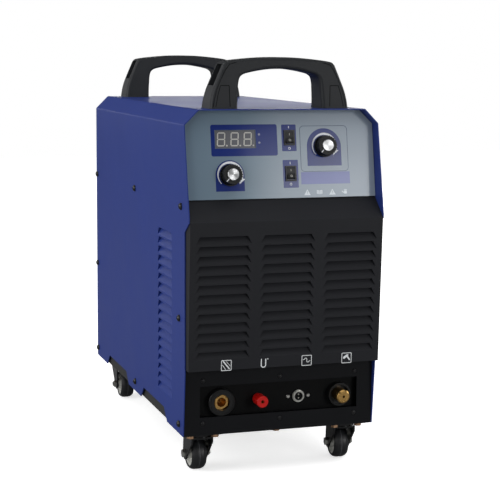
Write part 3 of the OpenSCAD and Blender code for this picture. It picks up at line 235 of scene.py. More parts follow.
def ink(name, shade, roughness=0.08):
    return grained(name, shade, roughness, 1.1, 0.004, 0.03, 30, wear=0.02)


finishes["film"] = filmWithPaintedReflection()
inks = {
    "navy": ink("navyInk", "#1b2d70"),
    "violet": ink("violetInk", "#6a72a4"),
    "pale": ink("paleInk", "#e6e9ee", 0.35),
    "slate": ink("slateInk", "#3c4c66"),
    "faint": ink("faintInk", "#cbd3da", 0.12),
    "segments": ink("unlitSegments", "#b7b6b0", 0.3),
    "lens": ink("indicatorLens", "#8f93a8", 0.2),
    "panelWhite": ink("screenPrintWhite", "#dfe2e4", 0.5),
}
dressing = {
    "bluePowderCoat": ["outer_cover"],
    "blackPowderCoat": ["fascia_panel", "louvre_panel", "rear_panel"],
    "casterEnamel": ["caster_plates"],
    # the socket panel takes the black coat darkened as painted shade
    "shadedRecessCoat": ["socket_panel"],
    "greyPowderCoat": ["base_tray", "inner_deck"],
    "film": ["fascia_film"],
    "boardPhenolic": ["socket_board"],
    "phenolic": ["torch_insulator", "work_insulator", "fan_frame", "breaker_body", "cable_gland"],
    "grainedNylon": ["front_handle", "rear_handle"],
    "blackenedSteel": ["panel_screws"],
    "smokedAcrylic": ["display_module"],
    "zincPlate": ["potentiometers", "control_socket", "fan_guard", "earth_bolt"],
    "moulding": ["switch_frames", "mode_rocker", "gas_rocker", "fan_rotor", "breaker_lever"],
    "knobPlastic": ["current_knob", "delay_knob"],
    "currentCap": ["current_knob_cap"],
    "delayCap": ["delay_knob_cap"],
    "brass": ["post_stud"],
    "hexBrass": ["torch_socket"],
    "plugBrass": ["work_plug"],
    "gasBrass": ["gas_inlet", "gas_valve"],
    "glossyNylon": ["post_collar", "post_cap"],
    "yellowZinc": ["base_bolts"],
    "extrudedAluminium": ["heat_sinks"],
    "solderResist": ["power_board", "control_board"],
    "varnish": ["main_transformer"],
}
for corner in ("front_left", "front_right", "rear_left", "rear_right"):
    dressing["casterEnamel"].append(corner + "_fork")
    dressing["zincPlate"].append(corner + "_axle")
    dressing.setdefault("rubber", []).append(corner + "_tyre")
    dressing.setdefault("polypropylene", []).append(corner + "_hub")
for finishName, names in dressing.items():
    for nodeName in names:
        mesh = nodes[nodeName].data
        mesh.materials.clear()
        mesh.materials.append(finishes[finishName])
undressed = [name for name in nodes if name not in sum(dressing.values(), [])]
print("finishes set, undressed nodes:", undressed)


# ---- pieces
def keep(name, mesh, material, body="cabinet"):
    piece = bpy.data.objects.new(name, mesh)
    bpy.context.scene.collection.objects.link(piece)
    mesh.materials.clear()
    mesh.materials.append(material)
    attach(piece, body)
    return piece


def flatPrint(name, loops, place, material, lift=0.0, thickness=0.08, body="cabinet"):
    # loops are closed outlines in millimetres; one inside another is a hole
    curve = bpy.data.curves.new(name, "CURVE")
    curve.dimensions = "2D"
    curve.fill_mode = "BOTH"
    curve.extrude = thickness / 2000
    for loop in loops:
        spline = curve.splines.new("POLY")
        spline.points.add(len(loop) - 1)
        spline.use_cyclic_u = True
        for point, (x, y) in zip(spline.points, loop):
            point.co = (x / 1000, y / 1000, 0, 1)
    drawn = bpy.data.objects.new(name + "Drawn", curve)
    bpy.context.scene.collection.objects.link(drawn)
    bpy.context.view_layer.update()
    mesh = bpy.data.meshes.new_from_object(drawn.evaluated_get(bpy.context.evaluated_depsgraph_get()))
    bpy.data.objects.remove(drawn)
    mesh.transform(along(place, 0, 0, lift + thickness / 2))
    return keep(name, mesh, material, body)


def box2(x0, y0, x1, y1, r=0.0, steps=5):
    if r <= 0:
        return [(x0, y0), (x1, y0), (x1, y1), (x0, y1)]
    corners = [(x1 - r, y0 + r, -90), (x1 - r, y1 - r, 0), (x0 + r, y1 - r, 90), (x0 + r, y0 + r, 180)]
    return [(cx + r * math.cos(math.radians(a + 90 * i / steps)), cy + r * math.sin(math.radians(a + 90 * i / steps)))
            for cx, cy, a in corners for i in range(steps + 1)]


def ring2(cx, cy, r, steps=32):
    return [(cx + r * math.cos(2 * math.pi * i / steps), cy + r * math.sin(2 * math.pi * i / steps)) for i in range(steps)]


def arch2(cx, cy, r, low, steps=24):
    # a plate with straight sides and a round head
    return [(cx - r, low), (cx + r, low)] + [
        (cx + r * math.cos(math.pi * i / steps), cy + r * math.sin(math.pi * i / steps)) for i in range(steps + 1)]


def bar2(x0, y0, x1, y1, w):
    d = Vector((x1 - x0, y1 - y0)).normalized() * w / 2
    return [(x0 - d.y, y0 + d.x), (x0 + d.y, y0 - d.x), (x1 + d.y, y1 - d.x), (x1 - d.y, y1 + d.x)]


panelPrint = {"current": (69.3, 75.1), "delay": (-78.4, 34.9), "mode": (15.0, 88.6), "gas": (15.0, 35.8),
              "display": (-67.9, 87.4, 62.6, 27.0)}
cx, cy, dw, dh = panelPrint["display"]
# boxes are left, foot, right, head and corner radius; arches are centre, radius and foot
plates = {"display": (-105.1, 62.6, -3.6, 108.7, 3), "modeSwitch": (3.4, 68.9, 26, 108.1, 1), "gasSwitch": (3.3, 14.9, 27, 56, 1),
          "outline": (31.5, 38.0, 106.9, 106.2, 6), "insideOutline": (32.3, 38.8, 106.1, 105.4, 5.2),
          "band": (31.2, 19.6, 108.2, 37.5, 0.6), "delayArch": (-78.45, 35.05, 21.85, 11.6),
          "currentArch": (69.25, 75.2, 26.95, 46.5)}
flatPrint("displayPlate", [box2(*plates["display"]), box2(cx - dw / 2, cy - dh / 2, cx + dw / 2, cy + dh / 2)],
          panelFace, inks["navy"])
flatPrint("delayPlate", [arch2(*plates["delayArch"])], panelFace, inks["navy"])
flatPrint("currentPlate", [arch2(*plates["currentArch"])], panelFace, inks["navy"])
flatPrint("switchPlates", [box2(*plates["modeSwitch"]), box2(*plates["gasSwitch"])], panelFace, inks["navy"])
flatPrint("dialOutline", [box2(*plates["outline"]), box2(*plates["insideOutline"])], panelFace, inks["slate"])
flatPrint("lowerBand", [box2(*plates["band"])], panelFace, inks["violet"])


def triangle2(cx, cy, half):
    return [(cx - half, cy - half * 0.86), (cx + half, cy - half * 0.86), (cx, cy + half * 0.86)]


# faint safety pictograms along the foot: warning, manual, warning, gloved hand
notices = {"height": 7.8, "places": (39.8, 59.2, 79.4, 99.0), "half": 5.1}
n, nh = notices["height"], notices["half"]
noticeLoops = []
for x in (notices["places"][0], notices["places"][2]):
    noticeLoops += [triangle2(x, n, nh), bar2(x, n + 1.6, x, n - 1.2, 0.9), box2(x - 0.45, n - 2.7, x + 0.45, n - 1.9)]
x = notices["places"][1]
noticeLoops += [[(x - 4.4, n + 2.8), (x - 0.3, n + 2.1), (x - 0.3, n - 3.3), (x - 4.4, n - 2.6)],
                [(x + 4.4, n + 2.8), (x + 0.3, n + 2.1), (x + 0.3, n - 3.3), (x + 4.4, n - 2.6)]]
for level in (1.1, -0.3, -1.7):
    noticeLoops += [bar2(x - 3.6, n + level, x - 1.1, n + level - 0.4, 0.35),
                    bar2(x + 1.1, n + level - 0.4, x + 3.6, n + level, 0.35)]
x = notices["places"][3]
noticeLoops += [box2(x - 1.2, n - 3.4, x + 3.4, n + 1.2, 1.2), bar2(x - 1.6, n - 1.8, x - 4.4, n + 0.6, 1.3)]
noticeLoops += [box2(x - 1.0 + 1.2 * i, n + 1.5, x - 0.1 + 1.2 * i, n + 3.6 - 0.4 * abs(i - 1.5), 0.3) for i in range(4)]
flatPrint("noticeMarks", noticeLoops, panelFace, inks["faint"])
print("panel plates made")


def crescent(cx, cy, size, steps=40):
    # a scale that swells from its start to its end, clockwise, and ends in an arrow
    outer, inner = [], []
    for i in range(steps + 1):
        t = i / steps
        a = math.radians(size["start"] - size["sweep"] * t)
        w = size["thin"] + (size["thick"] - size["thin"]) * math.sin(math.pi * min(1, t * 0.62 + 0.06))
        outer.append((cx + (size["radius"] + w) * math.cos(a), cy + (size["radius"] + w) * math.sin(a)))
        inner.append((cx + size["radius"] * math.cos(a), cy + size["radius"] * math.sin(a)))
    head = []
    for radius, turn in size["arrow"]:
        a = math.radians(turn)
        head.append((cx + radius * math.cos(a), cy + radius * math.sin(a)))
    return outer + head + inner[::-1]


# arrow corners are (radius, degrees)
dialScale = {"radius": 17.2, "start": 222, "sweep": 236, "thin": 0.5, "thick": 3.3,
             "arrow": [(23.4, -15), (19.4, -43), (13.8, -20)]}
for label in ("current", "delay"):
    x, v = panelPrint[label]
    flatPrint(label + "Scale", [crescent(x, v, dialScale)], panelFace, inks["pale"], 0.08)

# unlit seven-segment digits with their points
digit = {"width": 12.4, "height": 20.4, "stroke": 1.7, "gap": 0.25, "slant": 0.07}


def segmentLoops(cx, cy):
    s, g = digit["stroke"] / 2, digit["gap"]
    w, h = digit["width"] / 2 - s, digit["height"] / 2 - s
    ends = [((-w, h), (w, h)), ((-w, 0), (w, 0)), ((-w, -h), (w, -h)),
            ((-w, 0), (-w, h)), ((w, 0), (w, h)), ((-w, -h), (-w, 0)), ((w, -h), (w, 0))]
    loops = []
    for (x0, y0), (x1, y1) in ends:
        d = Vector((x1 - x0, y1 - y0)).normalized()
        n = Vector((-d.y, d.x))
        a, b = Vector((x0, y0)) + d * g, Vector((x1, y1)) - d * g
        outline = [a, a + (d + n) * s, b + (n - d) * s, b, b - (d + n) * s, a + (d - n) * s]
        loops.append([(cx + p.x + digit["slant"] * p.y, cy + p.y) for p in outline])
    return loops


digitLoops = []
for x in (-21.3, -0.8, 19.2):
    digitLoops += segmentLoops(cx + x, cy)
    digitLoops.append(ring2(cx + x + 8.3, cy - 9.2, 1.2, 16))
flatPrint("unlitDigits", digitLoops, panelFace, inks["segments"], -1.0)
# heights over the floor, brought onto the leaning panel
indicators = {"x": -31.5, "heights": (441.6, 429.7), "radius": 1.6, "panelFoot": 349, "slope": 0.98541}
lensLoops = [ring2(indicators["x"], (z - indicators["panelFoot"]) / indicators["slope"], indicators["radius"], 20)
             for z in indicators["heights"]]
flatPrint("indicatorLenses", lensLoops, panelFace, inks["lens"], 0.08, 0.3)

# generic marks: bar for on and ring for off, by and on the switches
marks = []
for x, v in (panelPrint["mode"], panelPrint["gas"]):
    marks.append(bar2(x - 0.2, v + 13.9, x - 0.2, v + 17.3, 0.9))
    marks.append(ring2(x - 0.2, v - 15.6, 1.9, 24))
    marks.append(ring2(x - 0.2, v - 15.6, 1.2, 24))
flatPrint("switchMarks", marks, panelFace, inks["pale"], 0.08)
rockerTilt = math.radians(-10)
slope = math.atan2(1.2, 8.3)
for label in ("mode", "gas"):
    x, v = panelPrint[label]
    rocker = along(panelFace, x, v) @ Matrix.Rotation(rockerTilt, 4, "X")
    upper = along(rocker, 0, 0, 2.2) @ Matrix.Rotation(slope, 4, "X")
    lower = along(rocker, 0, 0, 2.2) @ Matrix.Rotation(-slope, 4, "X")
    flatPrint(label + "RockerBar", [bar2(0, 2.9, 0, 5.9, 0.8)], upper, inks["segments"], 0.0, 0.1,
              label + "_rocker")
    flatPrint(label + "RockerRing", [ring2(0, -4.4, 1.8, 24), ring2(0, -4.4, 1.15, 24)], lower, inks["segments"], 0.0, 0.1,
              label + "_rocker")

# pointer lines on the dials
for label in ("current", "delay"):
    x, v = panelPrint[label]
    dial = along(panelFace, x, v, 16.2)
    a = math.radians(225)
    flatPrint(label + "Pointer", [bar2(8.8 * math.cos(a), 8.8 * math.sin(a), 14.4 * math.cos(a), 14.4 * math.sin(a), 1.1)],
              dial, inks["pale"], -0.45, 0.6, label + "_dial")
print("dials, digits and switch marks made")


# pictograms over the sockets: torch, pilot loop, signal line and work clamp
def frameLoops(cx, cy, half=8.0, line=1.0, r=1.6):
    return [box2(cx - half, cy - half, cx + half, cy + half, r, 3),
            box2(cx - half + line, cy - half + line, cx + half - line, cy + half - line, r - line * 0.6, 3)]


def arcPoints(cx, cy, r, start, end, steps=10):
    return [(cx + r * math.cos(math.radians(start + (end - start) * i / steps)),
             cy + r * math.sin(math.radians(start + (end - start) * i / steps))) for i in range(steps + 1)]


def ribbon2(points, w):
    # one closed outline of even width along a line of points
    left, right = [], []
    for i, p in enumerate(points):
        a, b = Vector(points[max(i - 1, 0)]), Vector(points[min(i + 1, len(points) - 1)])
        d = (b - a).normalized() * w / 2
        left.append((p[0] - d.y, p[1] + d.x))
        right.append((p[0] + d.y, p[1] - d.x))
    return left + right[::-1]


symbolPlaces = {"torch": -91.0, "pilot": -34.0, "signal": 33.5, "clamp": 97.0, "height": 7.0}
level = symbolPlaces["height"]
symbols = []
tx = symbolPlaces["torch"]
symbols += frameLoops(tx, level)
symbols += [[(tx - 6.0, level + 6.4), (tx - 3.6, level + 6.4), (tx + 5.6, level - 5.0), (tx + 4.2, level - 6.2)],
            bar2(tx - 6.2, level + 1.2, tx - 0.8, level - 6.4, 0.8),
            bar2(tx - 0.4, level + 6.2, tx + 6.3, level - 1.6, 0.7)]
ux = symbolPlaces["pilot"]
bend = arcPoints(ux, level - 2.8, 3.4, 180, 360)
symbols.append(ribbon2([(ux - 3.4, level + 6.5)] + bend + [(ux + 3.4, level + 6.5)], 1.5))
symbols.append(ring2(ux + 6.6, level + 6.0, 0.9, 12))
wx = symbolPlaces["signal"]
symbols += frameLoops(wx, level)
crest = arcPoints(wx - 1.6, level + 1.5, 2.0, 180, 0, 8)[1:]
trough = arcPoints(wx + 2.0, level - 0.9, 1.9, 180, 360, 8)[1:]
symbols.append(ribbon2([(wx - 5.8, level + 1.5), (wx - 3.6, level + 1.5)] + crest + trough + [(wx + 5.8, level - 0.6)], 1.0))
gx = symbolPlaces["clamp"]
symbols += frameLoops(gx, level)
clamp = [(-5.8, -0.4), (-4.6, 2.4), (0.8, 5.6), (3.2, 4.6), (2.2, 3.0), (6.0, -2.8), (4.4, -4.2), (0.2, 1.4), (-3.6, -1.6)]
symbols.append([(gx + x, level + y) for x, y in clamp])
flatPrint("socketSymbols", symbols, louvreFace, inks["panelWhite"], 0.0, 0.08)
print("pictograms made")


def lathe(name, profile, place, material, body="cabinet", steps=40):
    # turns a closed outline of (radius, height) in millimetres about the drawn Z; radius 0 is a pole
    shape = bmesh.new()
    rows = []
    for radius, height in profile:
        count = steps if radius > 0 else 1
        rows.append([shape.verts.new((radius * math.cos(2 * math.pi * i / steps) / 1000,
                                      radius * math.sin(2 * math.pi * i / steps) / 1000, height / 1000)) for i in range(count)])
    for low, high in zip(rows, rows[1:] + rows[:1]):
        for i in range(steps):
            j = (i + 1) % steps
            corners = [low[i % len(low)], low[j % len(low)], high[j % len(high)], high[i % len(high)]]
            corners = list(dict.fromkeys(corners))
            if len(corners) > 2:
                shape.faces.new(corners)
    bmesh.ops.recalc_face_normals(shape, faces=shape.faces)
    mesh = bpy.data.meshes.new(name)
    shape.to_mesh(mesh)
    shape.free()
    for face in mesh.polygons:
        face.use_smooth = True
    mesh.set_sharp_from_angle(angle=math.radians(35))
    mesh.transform(place)
    return keep(name, mesh, material, body)


def socketFace(x):
    return facing(x, 11, 47.7)


# binding post mouth: the cap's red lip in front of the brass stud
post = {"x": -31.0, "hole": 2.5, "bore": 3.04, "back": 20.2, "front": 22.9}
postProfile = [(post["hole"], post["back"]), (post["bore"], post["back"]), (post["bore"], post["front"] - 0.1),
               (post["bore"] - 0.3, post["front"]), (post["hole"] + 0.5, post["front"]), (post["hole"], post["front"] - 0.5)]
lathe("postMouth", postProfile, socketFace(post["x"]), finishes["glossyNylon"], "post_cap")
# control socket: the black insert round its pins
control = {"x": 32.5, "insert": 6.35, "seat": 1.05, "top": 2.0}
insertProfile = [(0, control["seat"]), (control["insert"], control["seat"]), (control["insert"], control["top"] - 0.3),
                 (control["insert"] - 0.3, control["top"]), (0, control["top"])]
lathe("pinInsert", insertProfile, socketFace(control["x"]), finishes["boardPhenolic"])
# torch socket: the pilot contact down the bore
torch = {"x": -90.2, "sleeve": 3.4, "pin": 1.9, "back": -8.0, "front": -3.5}
contactProfile = [(torch["pin"], torch["back"]), (torch["sleeve"], torch["back"]), (torch["sleeve"], torch["front"] - 0.5),
                  (torch["sleeve"] - 0.5, torch["front"]), (torch["pin"] + 0.3, torch["front"]),
                  (torch["pin"], torch["front"] - 0.3)]
lathe("pilotContact", contactProfile, socketFace(torch["x"]), finishes["brass"])

# moulded beads on both faces of each tyre, and a pale band of painted highlight on the mould line round its tread
wheelBead = {"radius": 21.2, "width": 1.3, "height": 0.45, "half": 11.0, "steps": 56, "tread": 25.01, "seam": 0.35,
             "seamSteps": 144, "trail": 0.020, "drop": 0.041}
# each pin's place and how far its fork is turned, in degrees
casterPins = {"front_left": (-114.6, 37, 1), "front_right": (114.6, 37, -5),
              "rear_left": (-114.6, 545, 179), "rear_right": (114.6, 545, 176)}
for corner, (px, py, turn) in casterPins.items():
    wheel = (Matrix.Translation(inCabinet(px, py, 0)) @ Matrix.Rotation(math.radians(turn), 4, "Z")
             @ Matrix.Translation((0, wheelBead["trail"], -wheelBead["drop"])) @ Matrix.Rotation(quarter, 4, "Y"))
    r, w, h, e = wheelBead["radius"], wheelBead["width"] / 2, wheelBead["height"], wheelBead["half"]
    for face in (-1, 1):
        beadProfile = [(r - w, face * (e - 1.2)), (r + w, face * (e - 1.2)), (r + w, face * (e - 0.1)),
                       (r + w * 0.4, face * (e + h)), (r - w * 0.4, face * (e + h)), (r - w, face * (e - 0.1))]
        lathe(corner + ("_outerBead" if face > 0 else "_innerBead"), beadProfile, wheel, finishes["rubber"],
              corner + "_wheel", wheelBead["steps"])
    # painted highlight: a pale band where the mould seam catches the light
    r, w = wheelBead["tread"], wheelBead["seam"]
    lathe(corner + "_seamHighlight", [(r - 0.4, -w), (r, -w), (r, w), (r - 0.4, w)], wheel, finishes["seamHighlightRubber"],
          corner + "_wheel", wheelBead["seamSteps"])
print("post, pins and tyre beads made")


# handle mould lines: fine grooves on both faces of each leg, laid onto the moulding
def onSurface(name, loops, node, face, line, lift=0.05, step=1.5):
    # ribbons along lines of (x, height above the roof), set on the node's front (-1) or rear (1) face
    solid = nodes[node].data
    tree = BVHTree.FromPolygons([v.co for v in solid.vertices], [p.vertices for p in solid.polygons])
    points, faces = [], []
    for loop in loops:
        dense = [loop[0]]
        for a, b in zip(loop, loop[1:]):
            count = max(1, round(math.dist(a, b) / step))
            dense += [(a[0] + (b[0] - a[0]) * i / count, a[1] + (b[1] - a[1]) * i / count) for i in range(1, count + 1)]
        outline = ribbon2(dense, line)
        count = len(dense)
        start = len(points)
        for x, z in outline:
            spot = inCabinet(x, 0, cabinet["roof"] + z)
            hit = tree.ray_cast(Vector((spot.x, face * 2, spot.z)), Vector((0, -face, 0)))[0]
            if hit is None:
                hit = tree.find_nearest(Vector((spot.x, face * 0.3, spot.z)))[0]
            points.append(hit + Vector((0, face * lift / 1000, 0)))
        for i in range(count - 1):
            corners = [start + i, start + i + 1, start + 2 * count - 2 - i, start + 2 * count - 1 - i]
            faces.append(corners if face > 0 else corners[::-1])
    mesh = bpy.data.meshes.new(name)
    mesh.from_pydata(points, [], faces)
    return keep(name, mesh, finishes["grooveShade"])


grooves = {"line": 1.0, "pad": [(-98.5, 3), (-95, 20), (-91, 33.5), (-78, 33.5)],
           "seam": [(-102.5, 3), (-100.3, 14), (-96.5, 28), (-90, 43), (-84, 55), (-77.5, 64), (-66, 67)],
           "inner": [(-78, 33.5), (-77, 3)]}
for node in ("front_handle", "rear_handle"):
    face = -1 if node == "front_handle" else 1
    lines = []
    for side in (-1, 1):
        lines += [[(side * -x, z) for x, z in grooves[key]] for key in ("pad", "seam", "inner")]
    onSurface(node + "Lines", lines, node, face, grooves["line"])
print("handle lines made")


# ---- screws, set by Geometry Nodes: place, way out, head radius and height, shank radius and length
coverScrews = [(12.6, 339.5), (22, 174), (22, 15), (297.5, 339), (297.5, 16.5), (588, 338), (588, 174.5), (588, 15)]
screwRows = []
for side in (-1, 1):
    screwRows += [((side * cabinet["halfWidth"], y, z), (side, 0, 0), 5.3, 4.2, 2, 8) for y, z in coverScrews]
screwRows += [((x * 119.5, 1.5, 50.3 + z * 32.2), (0, -1, 0), 3.2, 1.8, 2, 18) for x in (-1, 0, 1) for z in (-1, 1)]
screwRows += [((x * 70, 601.5, 205 + z * 70), (0, 1, 0), 4.4, 3.0, 2, 20) for x in (-1, 1) for z in (-1, 1)]
screwRows += [((x, y, 477.5), (0, 0, -1), 5.5, 3.7, 2.5, 11) for y in (37, 564) for x in (-95, -78, 78, 95)]


def pointCloud(name, rows):
    # one vertex for each screw, with its way out and its two scales
    mesh = bpy.data.meshes.new(name)
    mesh.from_pydata([inCabinet(*row[0]) for row in rows], [], [])
    columns = {"wayOut": [row[1] for row in rows],
               "headSize": [(row[2] / 1000, row[2] / 1000, row[3] / 1000) for row in rows],
               "shankSize": [(row[4] / 1000, row[4] / 1000, row[5] / 1000) for row in rows]}
    for column, values in columns.items():
        layer = mesh.attributes.new(column, "FLOAT_VECTOR", "POINT")
        for i, value in enumerate(values):
            layer.data[i].vector = value
    return mesh


def screwTree():
    tree = bpy.data.node_groups.new("panHeadScrews", "GeometryNodeTree")
    tree.interface.new_socket("Places", in_out="INPUT", socket_type="NodeSocketGeometry")
    for label, low in (("Recess span", 1.15), ("Recess width", 0.24), ("Recess depth", 0.5)):
        tree.interface.new_socket(label, in_out="INPUT", socket_type="NodeSocketFloat").default_value = low
    tree.interface.new_socket("Turn seed", in_out="INPUT", socket_type="NodeSocketInt").default_value = 7
    tree.interface.new_socket("Finish", in_out="INPUT", socket_type="NodeSocketMaterial")
    tree.interface.new_socket("Screws", in_out="OUTPUT", socket_type="NodeSocketGeometry")
    given = addNode(tree, "NodeGroupInput").outputs
    # head of radius 1 and height 1: the upper half of a ball with a cross sunk in it
    ball = addNode(tree, "GeometryNodeMeshUVSphere", Segments=28, Rings=14, Radius=1.0).outputs["Mesh"]
    slab = addNode(tree, "GeometryNodeMeshCube", Size=(3, 3, 2)).outputs["Mesh"]
    lower = addNode(tree, "GeometryNodeTransform", Geometry=slab, Translation=(0, 0, -1)).outputs["Geometry"]
    arms = []
    for first, second in (("Recess span", "Recess width"), ("Recess width", "Recess span")):
        size = addNode(tree, "ShaderNodeCombineXYZ", X=given[first], Y=given[second], Z=given["Recess depth"]).outputs["Vector"]
        arm = addNode(tree, "GeometryNodeMeshCube", Size=size).outputs["Mesh"]
        arms.append(addNode(tree, "GeometryNodeTransform", Geometry=arm, Translation=(0, 0, 0.95)).outputs["Geometry"])
    head = addNode(tree, "GeometryNodeMeshBoolean", {"operation": "DIFFERENCE", "solver": "EXACT"}, i0=ball)
    for cutter in (lower, arms[0], arms[1]):
        tree.links.new(cutter, head.inputs[1])
    shank = addNode(tree, "GeometryNodeMeshCylinder", Vertices=20, Radius=1.0, Depth=1.0).outputs["Mesh"]
    shank = addNode(tree, "GeometryNodeTransform", Geometry=shank, Translation=(0, 0, -0.49)).outputs["Geometry"]

    def column(label):
        return addNode(tree, "GeometryNodeInputNamedAttribute", {"data_type": "FLOAT_VECTOR"}, Name=label).outputs["Attribute"]

    stand = addNode(tree, "FunctionNodeAlignRotationToVector", {"axis": "Z"}, Vector=column("wayOut")).outputs["Rotation"]
    turn = addNode(tree, "FunctionNodeRandomValue", {"data_type": "FLOAT"}, Seed=given["Turn seed"])
    turn.inputs[3].default_value = 2 * math.pi
    about = addNode(tree, "FunctionNodeAxisAngleToRotation", Axis=(0, 0, 1), Angle=turn.outputs[1]).outputs["Rotation"]
    stand = addNode(tree, "FunctionNodeRotateRotation", {"rotation_space": "LOCAL"},
                    Rotation=stand, Rotate_By=about).outputs["Rotation"]
    joined = addNode(tree, "GeometryNodeJoinGeometry")
    for part, label in ((head.outputs["Mesh"], "headSize"), (shank, "shankSize")):
        placed = addNode(tree, "GeometryNodeInstanceOnPoints", Points=given["Places"], Instance=part,
                         Rotation=stand, Scale=column(label))
        tree.links.new(placed.outputs["Instances"], joined.inputs[0])
    real = addNode(tree, "GeometryNodeRealizeInstances", Geometry=joined.outputs["Geometry"]).outputs["Geometry"]
    coated = addNode(tree, "GeometryNodeSetMaterial", Geometry=real, Material=given["Finish"]).outputs["Geometry"]
    addNode(tree, "NodeGroupOutput", Screws=coated)
    return tree


def grown(name, mesh, tree, values):
    # runs a tree on a mesh and returns the plain mesh it makes
    holder = bpy.data.objects.new(name + "Places", mesh)
    bpy.context.scene.collection.objects.link(holder)
    modifier = holder.modifiers.new("grow", "NODES")
    modifier.node_group = tree
    for item in tree.interface.items_tree:
        if item.in_out == "INPUT" and item.name in values:
            modifier[item.identifier] = values[item.name]
    bpy.context.view_layer.update()
    made = bpy.data.meshes.new_from_object(holder.evaluated_get(bpy.context.evaluated_depsgraph_get()))
    holder.modifiers.clear()
    bpy.data.objects.remove(holder)
    return made


screwCross = {"Recess span": 1.15, "Recess width": 0.24, "Recess depth": 0.5, "Turn seed": 7,
              "Finish": finishes["blackenedSteel"]}
screwMesh = grown("panelScrews", pointCloud("panelScrewPlaces", screwRows), screwTree(), screwCross)
screwPiece = keep("panelScrews", screwMesh, finishes["blackenedSteel"])
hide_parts("panel_screws")
print("screws set:", len(screwRows), "of", len(screwMesh.polygons), "faces")

# ---- studio
studio = {"reach": 6.0, "paperLift": 0.62, "paperBounce": "#a8a8a8", "paperMirrored": "#8a8a8a", "fill": 0.5, "room": 0.07}
softbox = {"nearEdge": 2.6, "farEdge": 9.0, "fadeFrom": 0.7, "fadeTo": 1.0, "top": 0.3}
floorMesh = bpy.data.meshes.new("floor")
reach = studio["reach"]
floorMesh.from_pydata([(-reach, -reach, 0), (reach, -reach, 0), (reach, reach, 0), (-reach, reach, 0)], [], [(0, 1, 2, 3)])
floor = bpy.data.objects.new("floor", floorMesh)
bpy.context.scene.collection.objects.link(floor)
paper = bpy.data.materials.new("paperSweep")
paper.use_nodes = True
tree = paper.node_tree
surface = tree.nodes["Principled BSDF"]
surface.inputs["Base Color"].default_value = linear("#f4f4f4")
surface.inputs["Roughness"].default_value = 0.9
rays = addNode(tree, "ShaderNodeLightPath")
white = addNode(tree, "ShaderNodeEmission", Color=(1, 1, 1, 1), Strength=studio["paperLift"])
both = addNode(tree, "ShaderNodeAddShader", i0=surface.outputs["BSDF"], i1=white.outputs["Emission"])
dim = addNode(tree, "ShaderNodeBsdfDiffuse", Color=linear(studio["paperBounce"]))
dark = addNode(tree, "ShaderNodeBsdfDiffuse", Color=linear(studio["paperMirrored"]))
dim = addNode(tree, "ShaderNodeMixShader", Fac=rays.outputs["Is Glossy Ray"], i1=dim.outputs["BSDF"], i2=dark.outputs["BSDF"])
pick = addNode(tree, "ShaderNodeMixShader", Fac=rays.outputs["Is Camera Ray"],
               i1=dim.outputs["Shader"], i2=both.outputs["Shader"])
tree.links.new(pick.outputs["Shader"], tree.nodes["Material Output"].inputs["Surface"])
floorMesh.materials.append(paper)

# the world is white to the camera, a soft fill to matt surfaces and a darker room in reflections
world = bpy.data.worlds.new("studioWorld")
bpy.context.scene.world = world
world.use_nodes = True
tree = world.node_tree
fill = tree.nodes["Background"]
fill.inputs["Color"].default_value = (1, 1, 1, 1)
fill.inputs["Strength"].default_value = studio["fill"]
room = addNode(tree, "ShaderNodeBackground", Color=(1, 1, 1, 1), Strength=studio["room"])
seen = addNode(tree, "ShaderNodeBackground", Color=(1, 1, 1, 1), Strength=1.0)
rays = addNode(tree, "ShaderNodeLightPath")
mirrored = addNode(tree, "ShaderNodeMixShader", Fac=rays.outputs["Is Glossy Ray"],
                   i1=fill.outputs["Background"], i2=room.outputs["Background"])
pick = addNode(tree, "ShaderNodeMixShader", Fac=rays.outputs["Is Camera Ray"],
               i1=mirrored.outputs["Shader"], i2=seen.outputs["Background"])
tree.links.new(pick.outputs["Shader"], tree.nodes["World Output"].inputs["Surface"])

# each lamp: place, aim, width and height in metres, and how bright its face is
lamps = {
    "softboxFront": ((1.37, -2.93, 0.8), (0, -0.3, 0.45), 1.02, 1.1, 1.0),
    "stripLeft": ((-1.9, -2.5, 0.8), (0, -0.3, 0.3), 0.5, 1.3, 3.2),
    "sideBank": ((-2.8, -0.1, 1.1), (0, 0.0, 0.35), 2.2, 1.6, 4.2),
    "overhead": ((0.3, -0.9, 2.9), (0, -0.1, 0.3), 3.2, 2.6, 0.8),
    "rearDim": ((-1.4, 4.2, 0.85), (0, 0.3, 0.5), 2.4, 0.6, 1.1),
    "rightBank": ((2.9, 0.4, 1.2), (0, 0.0, 0.35), 2.0, 1.4, 2.6),
    "rearBank": ((2.1, 4.2, 0.85), (0, 0.3, 0.5), 2.8, 0.6, 6.0),
    "rearLeft": ((-2.0, 2.3, 2.7), (0, 0.3, 0.4), 1.6, 1.0, 3.0),
}
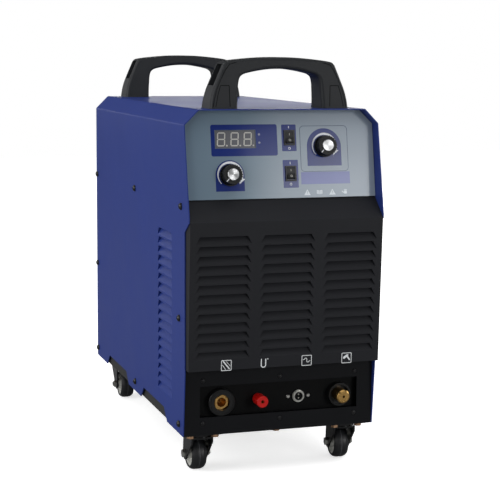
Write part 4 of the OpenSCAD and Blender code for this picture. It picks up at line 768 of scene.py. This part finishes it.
for lampName, (spot, aim, width, height, level) in lamps.items():
    light = bpy.data.lights.new(lampName, "AREA")
    light.shape = "RECTANGLE"
    light.size, light.size_y = width, height
    light.energy = level * math.pi * width * height  # an area lamp's watts for that brightness
    holder = bpy.data.objects.new(lampName, light)
    holder.location = spot
    holder.rotation_euler = (Vector(aim) - Vector(spot)).to_track_quat("-Z", "Y").to_euler()
    holder.visible_camera = False
    bpy.context.scene.collection.objects.link(holder)

# the front softbox is dimmer towards the cabinet's middle and its top, as its cloth is
front = bpy.data.lights["softboxFront"]
front.use_nodes = True
tree = front.node_tree
across = addNode(tree, "ShaderNodeSeparateXYZ", Vector=addNode(tree, "ShaderNodeNewGeometry").outputs["Parametric"])
sideways = addNode(tree, "ShaderNodeMapRange", Value=across.outputs["X"])
sideways.inputs["To Min"].default_value = softbox["nearEdge"]
sideways.inputs["To Max"].default_value = softbox["farEdge"]
upwards = addNode(tree, "ShaderNodeMapRange", {"interpolation_type": "SMOOTHSTEP"}, Value=across.outputs["Y"])
upwards.inputs["From Min"].default_value = softbox["fadeFrom"]
upwards.inputs["From Max"].default_value = softbox["fadeTo"]
upwards.inputs["To Min"].default_value = 1.0
upwards.inputs["To Max"].default_value = softbox["top"]
level = addNode(tree, "ShaderNodeMath", {"operation": "MULTIPLY"}, i0=sideways.outputs["Result"], i1=upwards.outputs["Result"])
tree.links.new(level.outputs["Value"], tree.nodes["Emission"].inputs["Strength"])

# ---- camera
view = {"spot": (-0.68253, -2.22967, 0.62592), "right": (0.95040544, -0.31090216, 0.00832755),
        "up": (0.03551524, 0.13509003, 0.99019662), "ahead": (0.30897924, 0.9407925, -0.13943206), "lens": 100.982}
cameraData = bpy.data.cameras.new("camera")
cameraData.lens = view["lens"]
cameraData.sensor_width = 36
cameraData.clip_end = 50
camera = bpy.data.objects.new("camera", cameraData)
axes = Matrix((view["right"], view["up"], [-c for c in view["ahead"]])).transposed()
camera.matrix_world = Matrix.Translation(view["spot"]) @ axes.to_4x4()
bpy.context.scene.collection.objects.link(camera)
bpy.context.scene.camera = camera
bpy.context.scene.view_settings.view_transform = "Standard"
print("studio and camera set")
